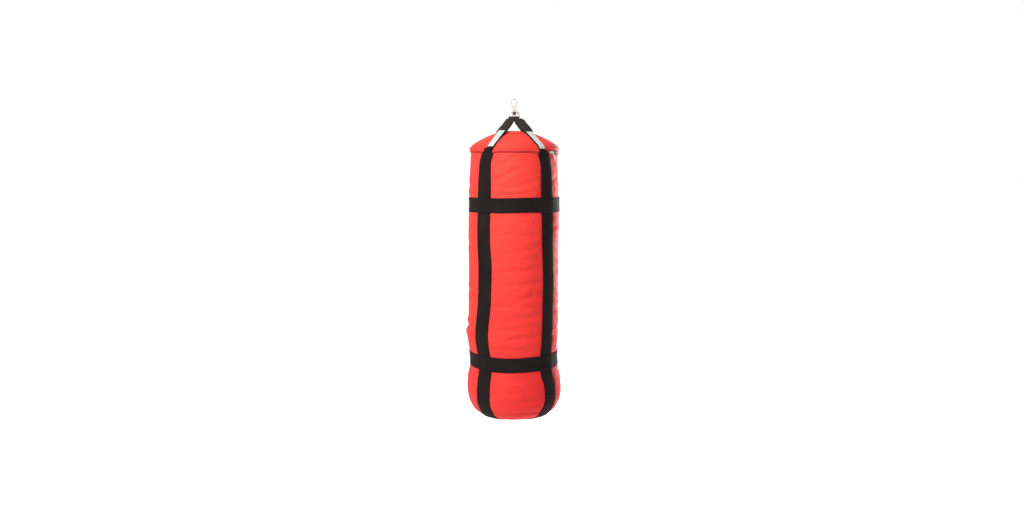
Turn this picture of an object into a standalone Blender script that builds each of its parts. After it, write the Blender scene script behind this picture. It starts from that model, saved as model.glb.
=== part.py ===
"""A filled punching bag that hangs from a swivel snap hook.

Metres, +Z up. The origin is the hang point: the inside of the hook's crown, where the
support bears. The front of the bag faces -Y. Azimuths are counted from -Y towards +X.
"""

import math

import bmesh
import bpy
from mathutils import Matrix, Vector

# Clearances between pieces that touch on the real object
GAP = 0.0003
WELD = 0.00001

# Bag: cover, measured from the rim down
BODY_RADIUS = 0.160
RIM_RADIUS = BODY_RADIUS - 0.004
WAIST_RADIUS = BODY_RADIUS - 0.003
BULGE_RADIUS = BODY_RADIUS + 0.0085
BASE_SEAM_RADIUS = BODY_RADIUS - 0.006
BAG_DEPTH = 0.975
BASE_SEAM_DEPTH = BAG_DEPTH - 0.047
BULGE_DEPTH = BAG_DEPTH - 0.109
LOWER_BAND_DEPTH = BAG_DEPTH - 0.2235
HIP_DEPTH = LOWER_BAND_DEPTH - 0.1315
SHOULDER_DEPTH = 0.15
UPPER_BAND_DEPTH = 0.195
COVER_WALL = 0.0012
COVER_TOP_DEPTH = 0.0025
HEM_HEIGHT = 0.012
LID_RISE = 0.0635
LID_ROUNDNESS = 1.8
LID_EDGE_POWER = 0.7
LID_EDGE_INSET = 0.0025
BASE_SPREAD = 1.02
WELT_RADIUS = 0.0022
WELT_STANDOFF = 0.0016
FACETS = 40

# Bag: filling
FOAM_THICKNESS = 0.020
FOAM_TOP_DEPTH = 0.014
FOAM_CLEARANCE = 0.0016
FILL_TOP_SLACK = 0.006
PAD_CLEARANCE = 0.0022
FILL_FACETS = 24

# Webbing
WEBBING_WIDTH = 0.050
STRAP_WIDTH = 0.058
WEBBING_THICKNESS = 0.0020
SLEEVE_THICKNESS = 0.0016
PATCH_THICKNESS = 0.0010
STRAP_PLANE_LEFT = -42.0
STRAP_PLANE_RIGHT = 48.0
RIM_LEAN_LEFT = 6.5
RIM_LEAN_RIGHT = -8.0
LEAN_DEPTH = 0.060
CROSSING_RADIUS = 0.041
CROSSING_RAMP = 0.030
BASE_CLEARANCE = 0.0004
BAND_RAMP = 0.010
TAIL_DEPTH = 0.060
STRAP_TOP_RADIUS = RIM_RADIUS - 0.007
GATHER_DEPTH = 0.036
HANGER_HEIGHT = 0.126
LEG_WIDTH = 0.028
LEG_RING_CLEARANCE = 0.00135
LEG_STRAIGHT = 0.0065
LEG_FLARE = 0.004
LEG_FLARE_END = 0.03
LEG_LEAN = 4.8
LEG_SHARES = (0.0, 0.03, 0.06, 0.10, 0.15, 0.21, 0.30, 0.43, 0.445, 0.475, 0.49, 0.58, 0.70, 0.82, 0.94, 1.0)
SLEEVE_WIDTH_LEFT = 0.0305
SLEEVE_WIDTH_RIGHT = 0.037
SLEEVE_SPREAD_END = 0.12
SLEEVE_END_LEFT = 0.43
SLEEVE_END_RIGHT = 0.475
PATCH_START = 0.012
PATCH_FOOT = 0.35
PATCH_WIDTH = 0.0225
PATCH_SIDESTEP = 0.002

# Ring and clevis
RING_WIDTH = 0.050
RING_WIRE = 0.0035
LEG_WIDTH_AT_RING = RING_WIDTH / 2.0 - 2.0 * RING_WIRE - 1.5 * GAP - LEG_RING_CLEARANCE
RING_DROP = 0.018
RING_CORNER = 0.0045
PIN_DEPTH = 0.048
PIN_RADIUS = 0.0040
EAR_RADIUS = 0.0090
EAR_THICKNESS = 0.0040
JAW_CORNER = 0.0030
JAW_OPENING = 0.0100
BRIDGE_CLEARANCE = 0.0155
BRIDGE_THICKNESS = 0.0050
BOLT_HEAD_RADIUS = 0.0065
BOLT_HEAD_HEIGHT = 0.0036
BOLT_HEAD_BEVEL = 0.0012
SOCKET_RADIUS = 0.0037
SOCKET_DEPTH = 0.0017
SOCKET_TWIST = 8.0
NUT_ACROSS_FLATS = 0.013
NUT_HEIGHT = 0.0065
BOLT_TIP = 0.0010
BOLT_TIP_BEVEL = 0.0006

# Swivel
RIVET_RADIUS = 0.0030
RIVET_HEAD_RADIUS = 0.0055
RIVET_HEAD_HEIGHT = 0.0025
RIVET_PEEN_RADIUS = 0.0034
RIVET_PEEN_HEIGHT = 0.0014
WASHER_RADIUS = 0.0070
WASHER_THICKNESS = 0.0010

# Snap hook
HOOK_ROD = 0.0030
HOOK_BEND = 0.0080
HOOK_NOSE = 0.0034
BASE_HEIGHT = 0.0050
BASE_DEPTH = 0.0100
BASE_LENGTH = 0.0220
GATE_PIVOT_RISE = 0.0034
GATE_PIN_RADIUS = 0.00125
GATE_PIN_HEAD = 0.0021
GATE_PIN_HEAD_HEIGHT = 0.0008
GATE_WALL = 0.0012
GATE_EAR_RADIUS = 0.0029
GATE_TOP_RISE = 0.0125
GATE_HORN = 0.0060
GATE_EAR_INSIDE = HOOK_ROD + 0.0004
GATE_EAR_OUTSIDE = GATE_EAR_INSIDE + GATE_WALL
LUG_RADIUS = GATE_EAR_RADIUS - 0.0005
LUG_THICKNESS = 0.0030
LUG_FRONT = 0.0001
SPRING_WIRE = 0.0003
SPRING_TURNS = 4

# Zip
ZIP_START = 50.0
ZIP_END = 129.5
ZIP_DEPTH = 0.0125
TAPE_HEIGHT = 0.0160
TAPE_THICKNESS = 0.0008
COIL_HEIGHT = 0.0050
COIL_THICKNESS = 0.0016
STOP_LENGTH = 0.0040
STOP_OVERHANG = 0.0010
STOP_SPACE = 0.0006
SLIDER_LENGTH = 0.0120
SLIDER_HEIGHT = 0.0090
SLIDER_WALL = 0.0012
BAIL_POST = 0.0012
BAIL_POST_SUNK = 0.0005
BAIL_POST_CAP = 0.0004
PULL_LENGTH = 0.030
PULL_WIDTH = 0.0070
PULL_THICKNESS = 0.0014
PULL_TILT = 38.0
PULL_NECK = 0.0019
PULL_PIN = 0.0009
KNUCKLE_RADIUS = 0.0019
BAIL_STANDOFF = 0.0026

# Heights that follow from the sizes above
PIN_Z = -PIN_DEPTH
RING_TOP_Z = PIN_Z + PIN_RADIUS + GAP + RING_WIRE
BAR_Z = PIN_Z - RING_DROP
RIM_Z = PIN_Z - HANGER_HEIGHT
BRIDGE_Z = PIN_Z + BRIDGE_CLEARANCE
BRIDGE_TOP_Z = BRIDGE_Z + BRIDGE_THICKNESS
WASHER_TOP_Z = BRIDGE_TOP_Z + GAP + WASHER_THICKNESS
BASE_Z = WASHER_TOP_Z + GAP
BASE_TOP_Z = BASE_Z + BASE_HEIGHT
BEND_Z = HOOK_ROD - HOOK_BEND
GATE_PIVOT = Vector((HOOK_BEND, 0.0, BASE_TOP_Z + GATE_PIVOT_RISE))
HANG_POINT = Vector((0.0, 0.0, 0.0))

RED = (0.86, 0.075, 0.06, 1.0)
BLACK = (0.022, 0.019, 0.019, 1.0)
WHITE = (0.72, 0.70, 0.69, 1.0)
STEEL = (0.70, 0.67, 0.64, 1.0)
DARK_STEEL = (0.10, 0.085, 0.08, 1.0)
ZIP_METAL = (0.74, 0.76, 0.68, 1.0)
ZIP_NYLON = (0.30, 0.022, 0.02, 1.0)
FOAM = (0.35, 0.35, 0.36, 1.0)
RAG = (0.30, 0.28, 0.26, 1.0)


def collection(name):
    found = bpy.data.collections.new(name)
    bpy.context.scene.collection.children.link(found)
    return found


def material(name, colour, roughness, metallic=0.0):
    made = bpy.data.materials.new(name)
    made.use_nodes = True
    shader = made.node_tree.nodes["Principled BSDF"]
    shader.inputs["Base Color"].default_value = colour
    shader.inputs["Roughness"].default_value = roughness
    shader.inputs["Metallic"].default_value = metallic
    made.diffuse_color = colour
    return made


def add(name, mesh, at, pivot, look):
    """A part whose mesh is drawn about the point at, carried by the empty pivot."""
    part = bpy.data.objects.new(name, mesh)
    PARTS.objects.link(part)
    part.parent = pivot
    part.location = at - Vector(pivot["place"])
    mesh.materials.append(look(name))
    mesh.shade_smooth()
    mesh.set_sharp_from_angle(angle=math.radians(35.0))
    return part


def joint(name, at, parent):
    """An empty that stands on a joint's axis."""
    empty = bpy.data.objects.new(name, None)
    empty.empty_display_size = 0.01
    PARTS.objects.link(empty)
    empty.parent = parent
    at = Vector(at)
    empty.location = at - Vector(parent["place"]) if parent else at
    empty["place"] = at
    return empty


def red_fabric(name):
    return material(name, RED, 0.75)


def black_webbing(name):
    return material(name, BLACK, 0.85)


def white_patch(name):
    return material(name, WHITE, 0.5)


def steel(name):
    return material(name, STEEL, 0.3, 1.0)


def dark_steel(name):
    return material(name, DARK_STEEL, 0.4, 1.0)


def zip_nylon(name):
    return material(name, ZIP_NYLON, 0.5)


def zip_metal(name):
    return material(name, ZIP_METAL, 0.35, 1.0)


def foam(name):
    return material(name, FOAM, 0.95)


def rag(name):
    return material(name, RAG, 0.95)


def mesh_of(build):
    mesh = bpy.data.meshes.new("shape")
    build.to_mesh(mesh)
    build.free()
    return mesh


def outline_mesh(points, closed):
    """Edges through (r, z) points in the XZ plane, for a Screw modifier."""
    build = bmesh.new()
    rings = [build.verts.new((r, 0.0, z)) for r, z in points]
    for first, second in zip(rings, rings[1:] + rings[:1] if closed else rings[1:]):
        build.edges.new((first, second))
    return mesh_of(build)


def turn(part, steps, angle=360.0):
    """Screw an outline about Z."""
    screw = part.modifiers.new("turn", "SCREW")
    screw.angle = math.radians(angle)
    screw.steps = screw.render_steps = steps
    screw.use_merge_vertices = angle == 360.0
    screw.merge_threshold = WELD
    screw.use_normal_calculate = False
    return part


def turned(name, points, steps, at, pivot, look, closed=False):
    return turn(add(name, outline_mesh(points, closed), at, pivot, look), steps)


def thicken(part, thickness, offset):
    wall = part.modifiers.new("wall", "SOLIDIFY")
    wall.thickness = thickness
    wall.offset = offset
    wall.use_even_offset = False
    return part


def sheet(across, along, place):
    """An open grid whose corner (i, j) lies at place(i, j)."""
    build = bmesh.new()
    bmesh.ops.create_grid(build, x_segments=across, y_segments=along, size=1.0)
    for corner in build.verts:
        i = round((corner.co.x + 1.0) / 2.0 * across)
        j = round((corner.co.y + 1.0) / 2.0 * along)
        corner.co = place(i, j)
    bmesh.ops.remove_doubles(build, verts=build.verts, dist=WELD)
    return mesh_of(build)


def rod(points, radius, sides=2, cyclic=False):
    """A round rod along points, as a closed mesh."""
    curve = bpy.data.curves.new("rod", "CURVE")
    curve.dimensions = "3D"
    curve.bevel_depth = radius
    curve.bevel_resolution = sides
    curve.use_fill_caps = not cyclic
    spline = curve.splines.new("POLY")
    spline.points.add(len(points) - 1)
    for knot, point in zip(spline.points, points):
        knot.co = (*point, 1.0)
    spline.use_cyclic_u = cyclic
    return curve_mesh(curve)


def plate(points, thickness):
    """A flat outline of (x, z) points, thickened equally to both sides along Y."""
    curve = bpy.data.curves.new("plate", "CURVE")
    curve.dimensions = "2D"
    curve.fill_mode = "BOTH"
    curve.extrude = thickness / 2.0
    spline = curve.splines.new("POLY")
    spline.points.add(len(points) - 1)
    for knot, (x, z) in zip(spline.points, points):
        knot.co = (x, z, 0.0, 1.0)
    spline.use_cyclic_u = True
    mesh = curve_mesh(curve)
    mesh.transform(Matrix.Rotation(math.radians(90.0), 4, "X"))
    return mesh


def curve_mesh(curve):
    """The welded mesh of a curve, which is then removed."""
    holder = bpy.data.objects.new("curve", curve)
    bpy.context.scene.collection.objects.link(holder)
    bpy.context.view_layer.update()
    ready = holder.evaluated_get(bpy.context.evaluated_depsgraph_get())
    mesh = bpy.data.meshes.new_from_object(ready)
    bpy.data.objects.remove(holder)
    bpy.data.curves.remove(curve)
    build = bmesh.new()
    build.from_mesh(mesh)
    bmesh.ops.remove_doubles(build, verts=build.verts, dist=WELD)
    bmesh.ops.recalc_face_normals(build, faces=build.faces)
    build.to_mesh(mesh)
    build.free()
    mesh.materials.clear()
    return mesh


def block(size, centre):
    build = bmesh.new()
    spread = Matrix.LocRotScale(Vector(centre), None, Vector(size))
    bmesh.ops.create_cube(build, size=1.0, matrix=spread)
    return mesh_of(build)


def peg(radius, length, centre, axis="Z", sides=24, tip_radius=None):
    """A cylinder or cone about the centre; the tip is its far end along the axis."""
    turns = {"Z": Matrix(), "Y": Matrix.Rotation(math.radians(-90.0), 4, "X")}
    build = bmesh.new()
    bmesh.ops.create_cone(
        build,
        cap_ends=True,
        segments=sides,
        radius1=radius,
        radius2=radius if tip_radius is None else tip_radius,
        depth=length,
        matrix=Matrix.Translation(Vector(centre)) @ turns[axis],
    )
    return mesh_of(build)


def combine(part, mesh, operation):
    """Join a mesh to a part, or cut it away; the helper lies where the part lies."""
    helper = bpy.data.objects.new(part.name + "_" + operation.lower(), mesh)
    CUTTERS.objects.link(helper)
    helper.hide_render = True
    helper.display_type = "WIRE"
    helper.parent = part.parent
    helper.location = part.location
    change = part.modifiers.new(operation.lower(), "BOOLEAN")
    change.operation = operation
    change.object = helper
    return part


def arc(centre, radius, first, last, count):
    """Points on an arc of (x, z), in degrees from +X towards +Z."""
    steps = [math.radians(first + (last - first) * k / count) for k in range(count + 1)]
    return [(centre[0] + radius * math.cos(a), centre[1] + radius * math.sin(a)) for a in steps]


def polar(azimuth, radius, z):
    """A point at an azimuth counted from -Y towards +X."""
    turn_by = math.radians(azimuth)
    return Vector((radius * math.sin(turn_by), -radius * math.cos(turn_by), z))


def tangent(azimuth):
    return Vector((math.cos(math.radians(azimuth)), math.sin(math.radians(azimuth)), 0.0))


def ease(share):
    share = min(max(share, 0.0), 1.0)
    return share * share * (3.0 - 2.0 * share)


def cover_radius(depth):
    """The cover's outer radius at a depth below the rim."""
    if depth < SHOULDER_DEPTH:
        return RIM_RADIUS + (BODY_RADIUS - RIM_RADIUS) * ease(depth / SHOULDER_DEPTH)
    if depth < HIP_DEPTH:
        return BODY_RADIUS
    if depth < LOWER_BAND_DEPTH:
        share = ease((depth - HIP_DEPTH) / (LOWER_BAND_DEPTH - HIP_DEPTH))
        return BODY_RADIUS + (WAIST_RADIUS - BODY_RADIUS) * share
    if depth < BULGE_DEPTH:
        share = ease((depth - LOWER_BAND_DEPTH) / (BULGE_DEPTH - LOWER_BAND_DEPTH))
        return WAIST_RADIUS + (BULGE_RADIUS - WAIST_RADIUS) * share
    share = (depth - BULGE_DEPTH) / (BASE_SEAM_DEPTH - BULGE_DEPTH)
    return BASE_SEAM_RADIUS + (BULGE_RADIUS - BASE_SEAM_RADIUS) * math.cos(share * math.pi / 2.0)


def lid_height(radius):
    """The lid's outer height over the rim at a radius."""
    share = min(radius / RIM_RADIUS, 1.0)
    return LID_RISE * (1.0 - share**LID_ROUNDNESS) ** LID_EDGE_POWER


def base_drop(radius):
    """How far the base's outer face lies below the rim at a radius."""
    dish = BAG_DEPTH - BASE_SEAM_DEPTH
    share = min(radius / (BASE_SEAM_RADIUS * BASE_SPREAD), 1.0)
    return BASE_SEAM_DEPTH + dish * math.sqrt(1.0 - share * share)


def between(start, stop, shares):
    return [start + (stop - start) * share for share in shares]


def cover_depths():
    """Depths at which the cover has a ring of corners; the bands' edges are among them."""
    half = WEBBING_WIDTH / 2.0
    bands = [d + s for d in (UPPER_BAND_DEPTH, LOWER_BAND_DEPTH) for s in (-half, 0.0, half)]
    shoulder = [COVER_TOP_DEPTH] + between(0.0, SHOULDER_DEPTH, (0.15, 0.46, 1.0))
    waist = between(HIP_DEPTH, LOWER_BAND_DEPTH, (0.0, 0.46))
    bulge = between(LOWER_BAND_DEPTH, BULGE_DEPTH, (0.6, 1.0))
    return sorted(shoulder + bands + waist + bulge + between(BULGE_DEPTH, BASE_SEAM_DEPTH, (0.47, 0.77, 1.0)))


def lid_radii():
    return between(0.0, RIM_RADIUS, (0.0, 0.23, 0.46, 0.65, 0.81, 0.917)) + [RIM_RADIUS - LID_EDGE_INSET]


def base_radii():
    return between(0.0, BASE_SEAM_RADIUS, (0.96, 0.86, 0.68, 0.39, 0.0))


def lid_line():
    """The outer part of the lid, on which the webbing can lie."""
    return [(r, lid_height(r)) for r in lid_radii()[3:]]


def over_welt():
    """Round the welt and down on to the side of the tube."""
    seat = RIM_RADIUS + WELT_STANDOFF
    edge = seat + WELT_RADIUS
    return [
        (seat + WELT_RADIUS / 2.0, 1.8 * WELT_RADIUS),
        (edge + 0.0008, 0.0),
        (edge + 0.0002, -2.7 * WELT_RADIUS),
        (edge - 0.0006, -9.0 * WELT_RADIUS),
    ]


def carcass():
    """What the webbing lies on, as (radius, height over the rim), lid to base centre."""
    below_welt = 18.0 * WELT_RADIUS
    side = [(cover_radius(d), -d) for d in cover_depths() if d > below_welt]
    base = [(r, -base_drop(r)) for r in base_radii()]
    return [Vector(p) for p in lid_line() + over_welt() + side + base]


def proud(points, lift):
    """The same line, moved outwards by lift."""
    moved = []
    for k, point in enumerate(points):
        ahead = (points[min(k + 1, len(points) - 1)] - points[min(k, len(points) - 2)]).normalized()
        behind = (points[max(k, 1)] - points[max(k - 1, 0)]).normalized()
        way = (ahead + behind).normalized()
        outward = Vector((-way.y, way.x))
        rise = lift(point) if callable(lift) else lift
        moved.append(point + outward * rise / way.dot(ahead))
    return moved


def webbing(name, stations, thickness, lift, pivot, look, columns=4):
    """A flat strap. A station is (centre, across, width, wrap), in the bag's frame."""
    centres = [s[0] for s in stations]

    def place(i, j):
        centre, across, width, wrap = stations[j]
        way = centres[min(j + 1, len(centres) - 1)] - centres[max(j - 1, 0)]
        outward = across.cross(way).normalized()
        side = width * (i / columns - 0.5)
        sag = 0.0
        if wrap:
            reach = math.hypot(centre.x, centre.y)
            level = math.hypot(outward.x, outward.y)
            sag = level * (reach - math.sqrt(max(reach * reach - side * side, 0.0)))
        return centre + across * side + outward * (lift - sag)

    mesh = sheet(columns, len(stations) - 1, place)
    return thicken(add(name, mesh, BAG, pivot, look), thickness, 0.0)


def positive_tangent(azimuth):
    across = tangent(azimuth)
    return across if across.x > 0.0 else -across


def bearing(plane, lean, back=False):
    """A strap's azimuth by height over the rim: it closes in on the Y axis near the rim."""
    start = plane + 180.0 if back else plane

    def at(height):
        return start + lean * ease(1.0 + height / LEAN_DEPTH)

    return at


def leg(crossing, azimuth, forward, lift):
    """Stations of one hanger leg, from under the strap up to the ring's bar, and its slope.

    Each station is (centre, across, width, wrap, share of the free length from the ring).
    The crossing is the point on the bar's axis under the middle of the webbing, and the
    azimuth is a function of the height over the rim.
    """
    tail_end = Vector((cover_radius(TAIL_DEPTH), -TAIL_DEPTH))
    lying = proud([p for p in carcass() if p.y > -TAIL_DEPTH] + [tail_end], lift)
    start = Vector((abs(crossing.x), crossing.z))

    def steepness(k):
        return (lying[k].y - start.y) / (lying[k].x - start.x)

    lying = lying[max(range(len(lid_line())), key=steepness):]
    outwards = math.copysign(1.0, crossing.x)
    lean = LEG_LEAN * outwards * forward
    across_rim = positive_tangent(azimuth(0.0) + lean)
    landing = polar(azimuth(0.0) + lean, lying[0].x, lying[0].y)
    slope = math.atan2(abs(landing.y), crossing.z - landing.z)
    leave = crossing + on_bar(forward * (math.pi / 2.0 - slope), lift)
    down = Vector((0.0, forward * math.sin(slope), -math.cos(slope)))
    clear = leave + down * LEG_STRAIGHT
    stations = []
    for point in reversed(lying[1:]):
        at = azimuth(point.y) + lean * ease(1.0 + point.y / TAIL_DEPTH)
        centre = polar(at, point.x, point.y)
        stations.append((centre, positive_tangent(at), LEG_WIDTH, True, 1.0))
    parting = abs(landing.x) - abs(crossing.x)
    for share in reversed(LEG_SHARES):
        across = Vector((1.0, 0.0, 0.0)).lerp(across_rim, ease(share)).normalized()
        beside = LEG_WIDTH_AT_RING + 2.0 * parting * share
        width = min(LEG_WIDTH, beside + LEG_FLARE * ease(share / LEG_FLARE_END))
        centre = clear.lerp(landing, share) + across * outwards * max(0.0, width - beside) / 2.0
        stations.append((centre, across, width, share == 1.0, share))
    stations.append((leave, Vector((1.0, 0.0, 0.0)), LEG_WIDTH_AT_RING, False, 0.0))
    return stations, slope


def on_bar(angle, lift):
    """From the bar's axis to webbing that lies on it, at an angle from the top towards +Y."""
    reach = RING_WIRE + lift
    return Vector((0.0, reach * math.sin(angle), reach * math.cos(angle)))


def hanger(side, front_azimuth, back_azimuth, lift):
    """Stations of a pair of legs: up at the front, over the ring's bar, down at the back."""
    crossing = Vector((side * (LEG_WIDTH_AT_RING / 2.0 + 1.5 * GAP), 0.0, BAR_Z - RIM_Z))
    front, front_slope = leg(crossing, front_azimuth, -1.0, lift)
    back, back_slope = leg(crossing, back_azimuth, 1.0, lift)
    first = front_slope - math.pi / 2.0
    last = math.pi / 2.0 - back_slope
    over = [
        (crossing + on_bar(angle, lift), Vector((1.0, 0.0, 0.0)), LEG_WIDTH_AT_RING, False, 0.0)
        for angle in between(first, last, (0.2, 0.4, 0.6, 0.8))
    ]
    return front + over + back[::-1]


def sleeve_stations(stations, full_width, end, outwards):
    """A sleeve is wider than its leg; near the ring only outwards, beside its neighbour."""
    extra = full_width - LEG_WIDTH
    cover = []
    for centre, across, width, wrap, share in stations:
        if share <= end:
            wider = extra * ease(share / SLEEVE_SPREAD_END)
            aside = outwards * wider / 2.0 * (1.0 - ease((share - SLEEVE_SPREAD_END) / SLEEVE_SPREAD_END))
            cover.append((centre + across * aside, across, width + wider, wrap))
    return cover


def plain(stations):
    return [s[:4] for s in stations]


def build_cover(pivot):
    outer = [(cover_radius(d), -d) for d in cover_depths()]
    tube = turned("cover_tube", outer, FACETS, BAG, pivot, red_fabric)
    thicken(tube, COVER_WALL, -1.0)
    lid = [(r, lid_height(r)) for r in lid_radii()]
    thicken(turned("lid_panel", lid, FACETS, BAG, pivot, red_fabric), COVER_WALL, -1.0)
    hem_radius = BASE_SEAM_RADIUS - COVER_WALL - 2.0 * GAP
    hem = [(hem_radius, -BASE_SEAM_DEPTH + HEM_HEIGHT), (hem_radius, -BASE_SEAM_DEPTH - GAP)]
    dish = [(r, -base_drop(r)) for r in base_radii()]
    thicken(turned("base_panel", hem + dish, FACETS, BAG, pivot, red_fabric), COVER_WALL, -1.0)
    welt = arc((RIM_RADIUS + WELT_STANDOFF, 0.0), WELT_RADIUS, 90.0, -225.0, 7)
    turned("rim_welt", welt, FACETS, BAG, pivot, red_fabric, closed=True)


def build_filling(pivot):
    """The foam stands inside the tube, the fill inside the foam, and the pad under both."""
    foot_depth = BULGE_DEPTH + 0.47 * (BASE_SEAM_DEPTH - BULGE_DEPTH)
    depths = [FOAM_TOP_DEPTH] + [d for d in cover_depths() if SHOULDER_DEPTH <= d <= foot_depth]
    depths = [d for d in depths if abs(d - UPPER_BAND_DEPTH) > WEBBING_WIDTH]
    outer = [(cover_radius(d) - COVER_WALL - FOAM_CLEARANCE, -d) for d in depths]
    inner = [(r - FOAM_THICKNESS, z) for r, z in reversed(outer)]
    turned("foam_liner", outer + inner, FILL_FACETS, BAG, pivot, foam, closed=True)
    side = [(r - FOAM_THICKNESS - 2.0 * GAP, z) for r, z in outer]
    top_radii = between(0.0, RIM_RADIUS, (0.0, 0.29, 0.54, 0.74))
    dome = [(r, lid_height(r) - COVER_WALL - FILL_TOP_SLACK) for r in top_radii]
    core_foot = outer[-1][1]
    turned("fill_core", dome + side + [(0.0, core_foot)], FILL_FACETS, BAG, pivot, rag)
    pad_top = core_foot - 2.0 * GAP
    pad_radius = BASE_SEAM_RADIUS - 2.0 * COVER_WALL - PAD_CLEARANCE
    pad_radii = between(0.0, BASE_SEAM_RADIUS, (0.86, 0.71, 0.49, 0.23, 0.0))
    lower = [(r, -base_drop(r) + 2.0 * COVER_WALL) for r in pad_radii]
    edge = [(pad_radius, pad_top), (pad_radius, -BASE_SEAM_DEPTH)]
    turned("base_pad", [(0.0, pad_top)] + edge + lower, FILL_FACETS, BAG, pivot, foam)


def build_body_strap(name, plane, lean, bump, pivot):
    """A long strap: down the back, under the base and up the front, to above the rim."""
    flat = GAP + WEBBING_THICKNESS / 2.0
    over_leg = 2.0 * GAP + WEBBING_THICKNESS

    past_leg = 1.04 * TAIL_DEPTH
    down_again = 1.35 * TAIL_DEPTH

    def lift(point):
        if point.y >= -past_leg:
            return flat + over_leg
        if point.y < -BASE_SEAM_DEPTH:
            near = 1.0 - ease((point.x - CROSSING_RADIUS) / CROSSING_RAMP) if bump else 0.0
            return flat + BASE_CLEARANCE + near * (GAP + WEBBING_THICKNESS)
        return flat

    line = [p for p in carcass() if p.x > STRAP_TOP_RADIUS or p.y < 0.0]
    above = [p for p in line if p.y > -TAIL_DEPTH]
    step = [Vector((cover_radius(d), -d)) for d in (past_leg, down_again)]
    line = above + step + [p for p in line if p.y < -down_again]
    if bump:
        line = [p for p in line if p.y > -BASE_SEAM_DEPTH or p.x > CROSSING_RADIUS]
        line += [Vector((r, -BAG_DEPTH)) for r in (CROSSING_RADIUS, 0.0)]
    side = proud(line, lift)
    stations = []
    for points, back in ((side, True), (side[-2::-1], False)):
        azimuth = bearing(plane, lean, back)
        for point in points:
            at = azimuth(point.y)
            centre = polar(at, point.x, point.y)
            stations.append((centre, positive_tangent(at), strap_width(point), True))
    return webbing(name, stations, WEBBING_THICKNESS, 0.0, pivot, black_webbing)


def strap_width(point):
    """The strap is gathered at the rim, as wide as the leg that it is sewn to."""
    narrow = LEG_WIDTH + 0.002
    return narrow + (STRAP_WIDTH - narrow) * ease(-point.y / GATHER_DEPTH)


def build_band(name, depth, pivot):
    """A closed band, raised where it passes over the four straps."""
    flat = GAP + WEBBING_THICKNESS / 2.0
    raised = flat + GAP + WEBBING_THICKNESS
    strap_planes = (STRAP_PLANE_LEFT, STRAP_PLANE_RIGHT)
    straps = sorted(plane + turned_by for plane in strap_planes for turned_by in (0.0, 180.0))
    half = math.degrees(math.asin((STRAP_WIDTH / 2.0 + 0.001) / cover_radius(depth)))
    ramp = math.degrees(BAND_RAMP / cover_radius(depth))
    stops = []
    for strap, following in zip(straps, straps[1:] + [straps[0] + 360.0]):
        over = between(strap - half, strap + half, (0.0, 0.25, 0.5, 0.75, 1.0))
        stops += [(azimuth, raised) for azimuth in over]
        free = between(strap + half + ramp, following - half - ramp, [k / 12.0 for k in range(13)])
        stops += [(azimuth, flat) for azimuth in free]
    stops.append((stops[0][0] + 360.0, raised))
    heights = between(-depth - WEBBING_WIDTH / 2.0, -depth + WEBBING_WIDTH / 2.0, (0.0, 0.5, 1.0))

    def place(i, j):
        azimuth, lift = stops[j]
        return polar(azimuth, cover_radius(-heights[i]) + lift, heights[i])

    mesh = sheet(2, len(stops) - 1, place)
    return thicken(add(name, mesh, BAG, pivot, black_webbing), WEBBING_THICKNESS, 0.0)


def build_webbing(pivot):
    flat = GAP + WEBBING_THICKNESS / 2.0
    left = (STRAP_PLANE_LEFT, RIM_LEAN_LEFT)
    right = (STRAP_PLANE_RIGHT, RIM_LEAN_RIGHT)
    build_body_strap("body_strap_left", *left, False, pivot)
    build_body_strap("body_strap_right", *right, True, pivot)
    build_band("band_upper", UPPER_BAND_DEPTH, pivot)
    build_band("band_lower", LOWER_BAND_DEPTH, pivot)
    legs = {
        "left": (-1.0, bearing(*left), bearing(*right, back=True), SLEEVE_WIDTH_LEFT, SLEEVE_END_LEFT),
        "right": (1.0, bearing(*right), bearing(*left, back=True), SLEEVE_WIDTH_RIGHT, SLEEVE_END_RIGHT),
    }
    over_leg = WEBBING_THICKNESS / 2.0 + GAP
    for name, (side, front, back, sleeve_width, sleeve_end) in legs.items():
        stations = hanger(side, front, back, flat)
        webbing("hanger_" + name, plain(stations), WEBBING_THICKNESS, 0.0, pivot, black_webbing)
        cover = sleeve_stations(stations, sleeve_width, sleeve_end, side)
        lift = over_leg + SLEEVE_THICKNESS / 2.0
        webbing("wear_sleeve_" + name, cover, SLEEVE_THICKNESS, lift, pivot, black_webbing)
        middle = len(stations) // 2
        for end, half, order in (("front", stations[:middle], 1), ("back", stations[:middle - 1:-1], -1)):
            build_patch("patch_%s_%s" % (end, name), half, order, -side, sleeve_end, pivot)


def build_patch(name, stations, order, inward, sleeve_end, pivot):
    """A patch on a leg, from the wear sleeve to the strap; stations run up the leg."""
    foot = max(k for k, s in enumerate(stations) if s[0].z < lid_height(STRAP_TOP_RADIUS))
    low, high = stations[foot][0], stations[foot + 1][0]
    lying = [(low.lerp(high, PATCH_FOOT), *stations[foot + 1][1:])]
    lying += [s for s in stations[foot + 1:] if s[4] > sleeve_end + PATCH_START]
    moved = [
        (centre - across * inward * PATCH_SIDESTEP, across, PATCH_WIDTH, wrap)
        for centre, across, width, wrap, share in lying
    ]
    lift = WEBBING_THICKNESS / 2.0 + GAP + PATCH_THICKNESS / 2.0
    webbing(name, moved[::order], PATCH_THICKNESS, lift, pivot, white_patch)


def build_ring(pivot):
    bend = RING_WIDTH / 2.0 - RING_WIRE
    top = RING_TOP_Z - bend - BAR_Z
    line = arc((0.0, top), bend, 0.0, 180.0, 16)
    corner = RING_CORNER
    line += arc((-bend + corner, corner), corner, 180.0, 270.0, 3)
    line += arc((bend - corner, corner), corner, 270.0, 360.0, 3)
    points = [(x, 0.0, z) for x, z in line]
    add("hang_ring", rod(points, RING_WIRE, sides=3, cyclic=True), BAR, pivot, steel)


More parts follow.
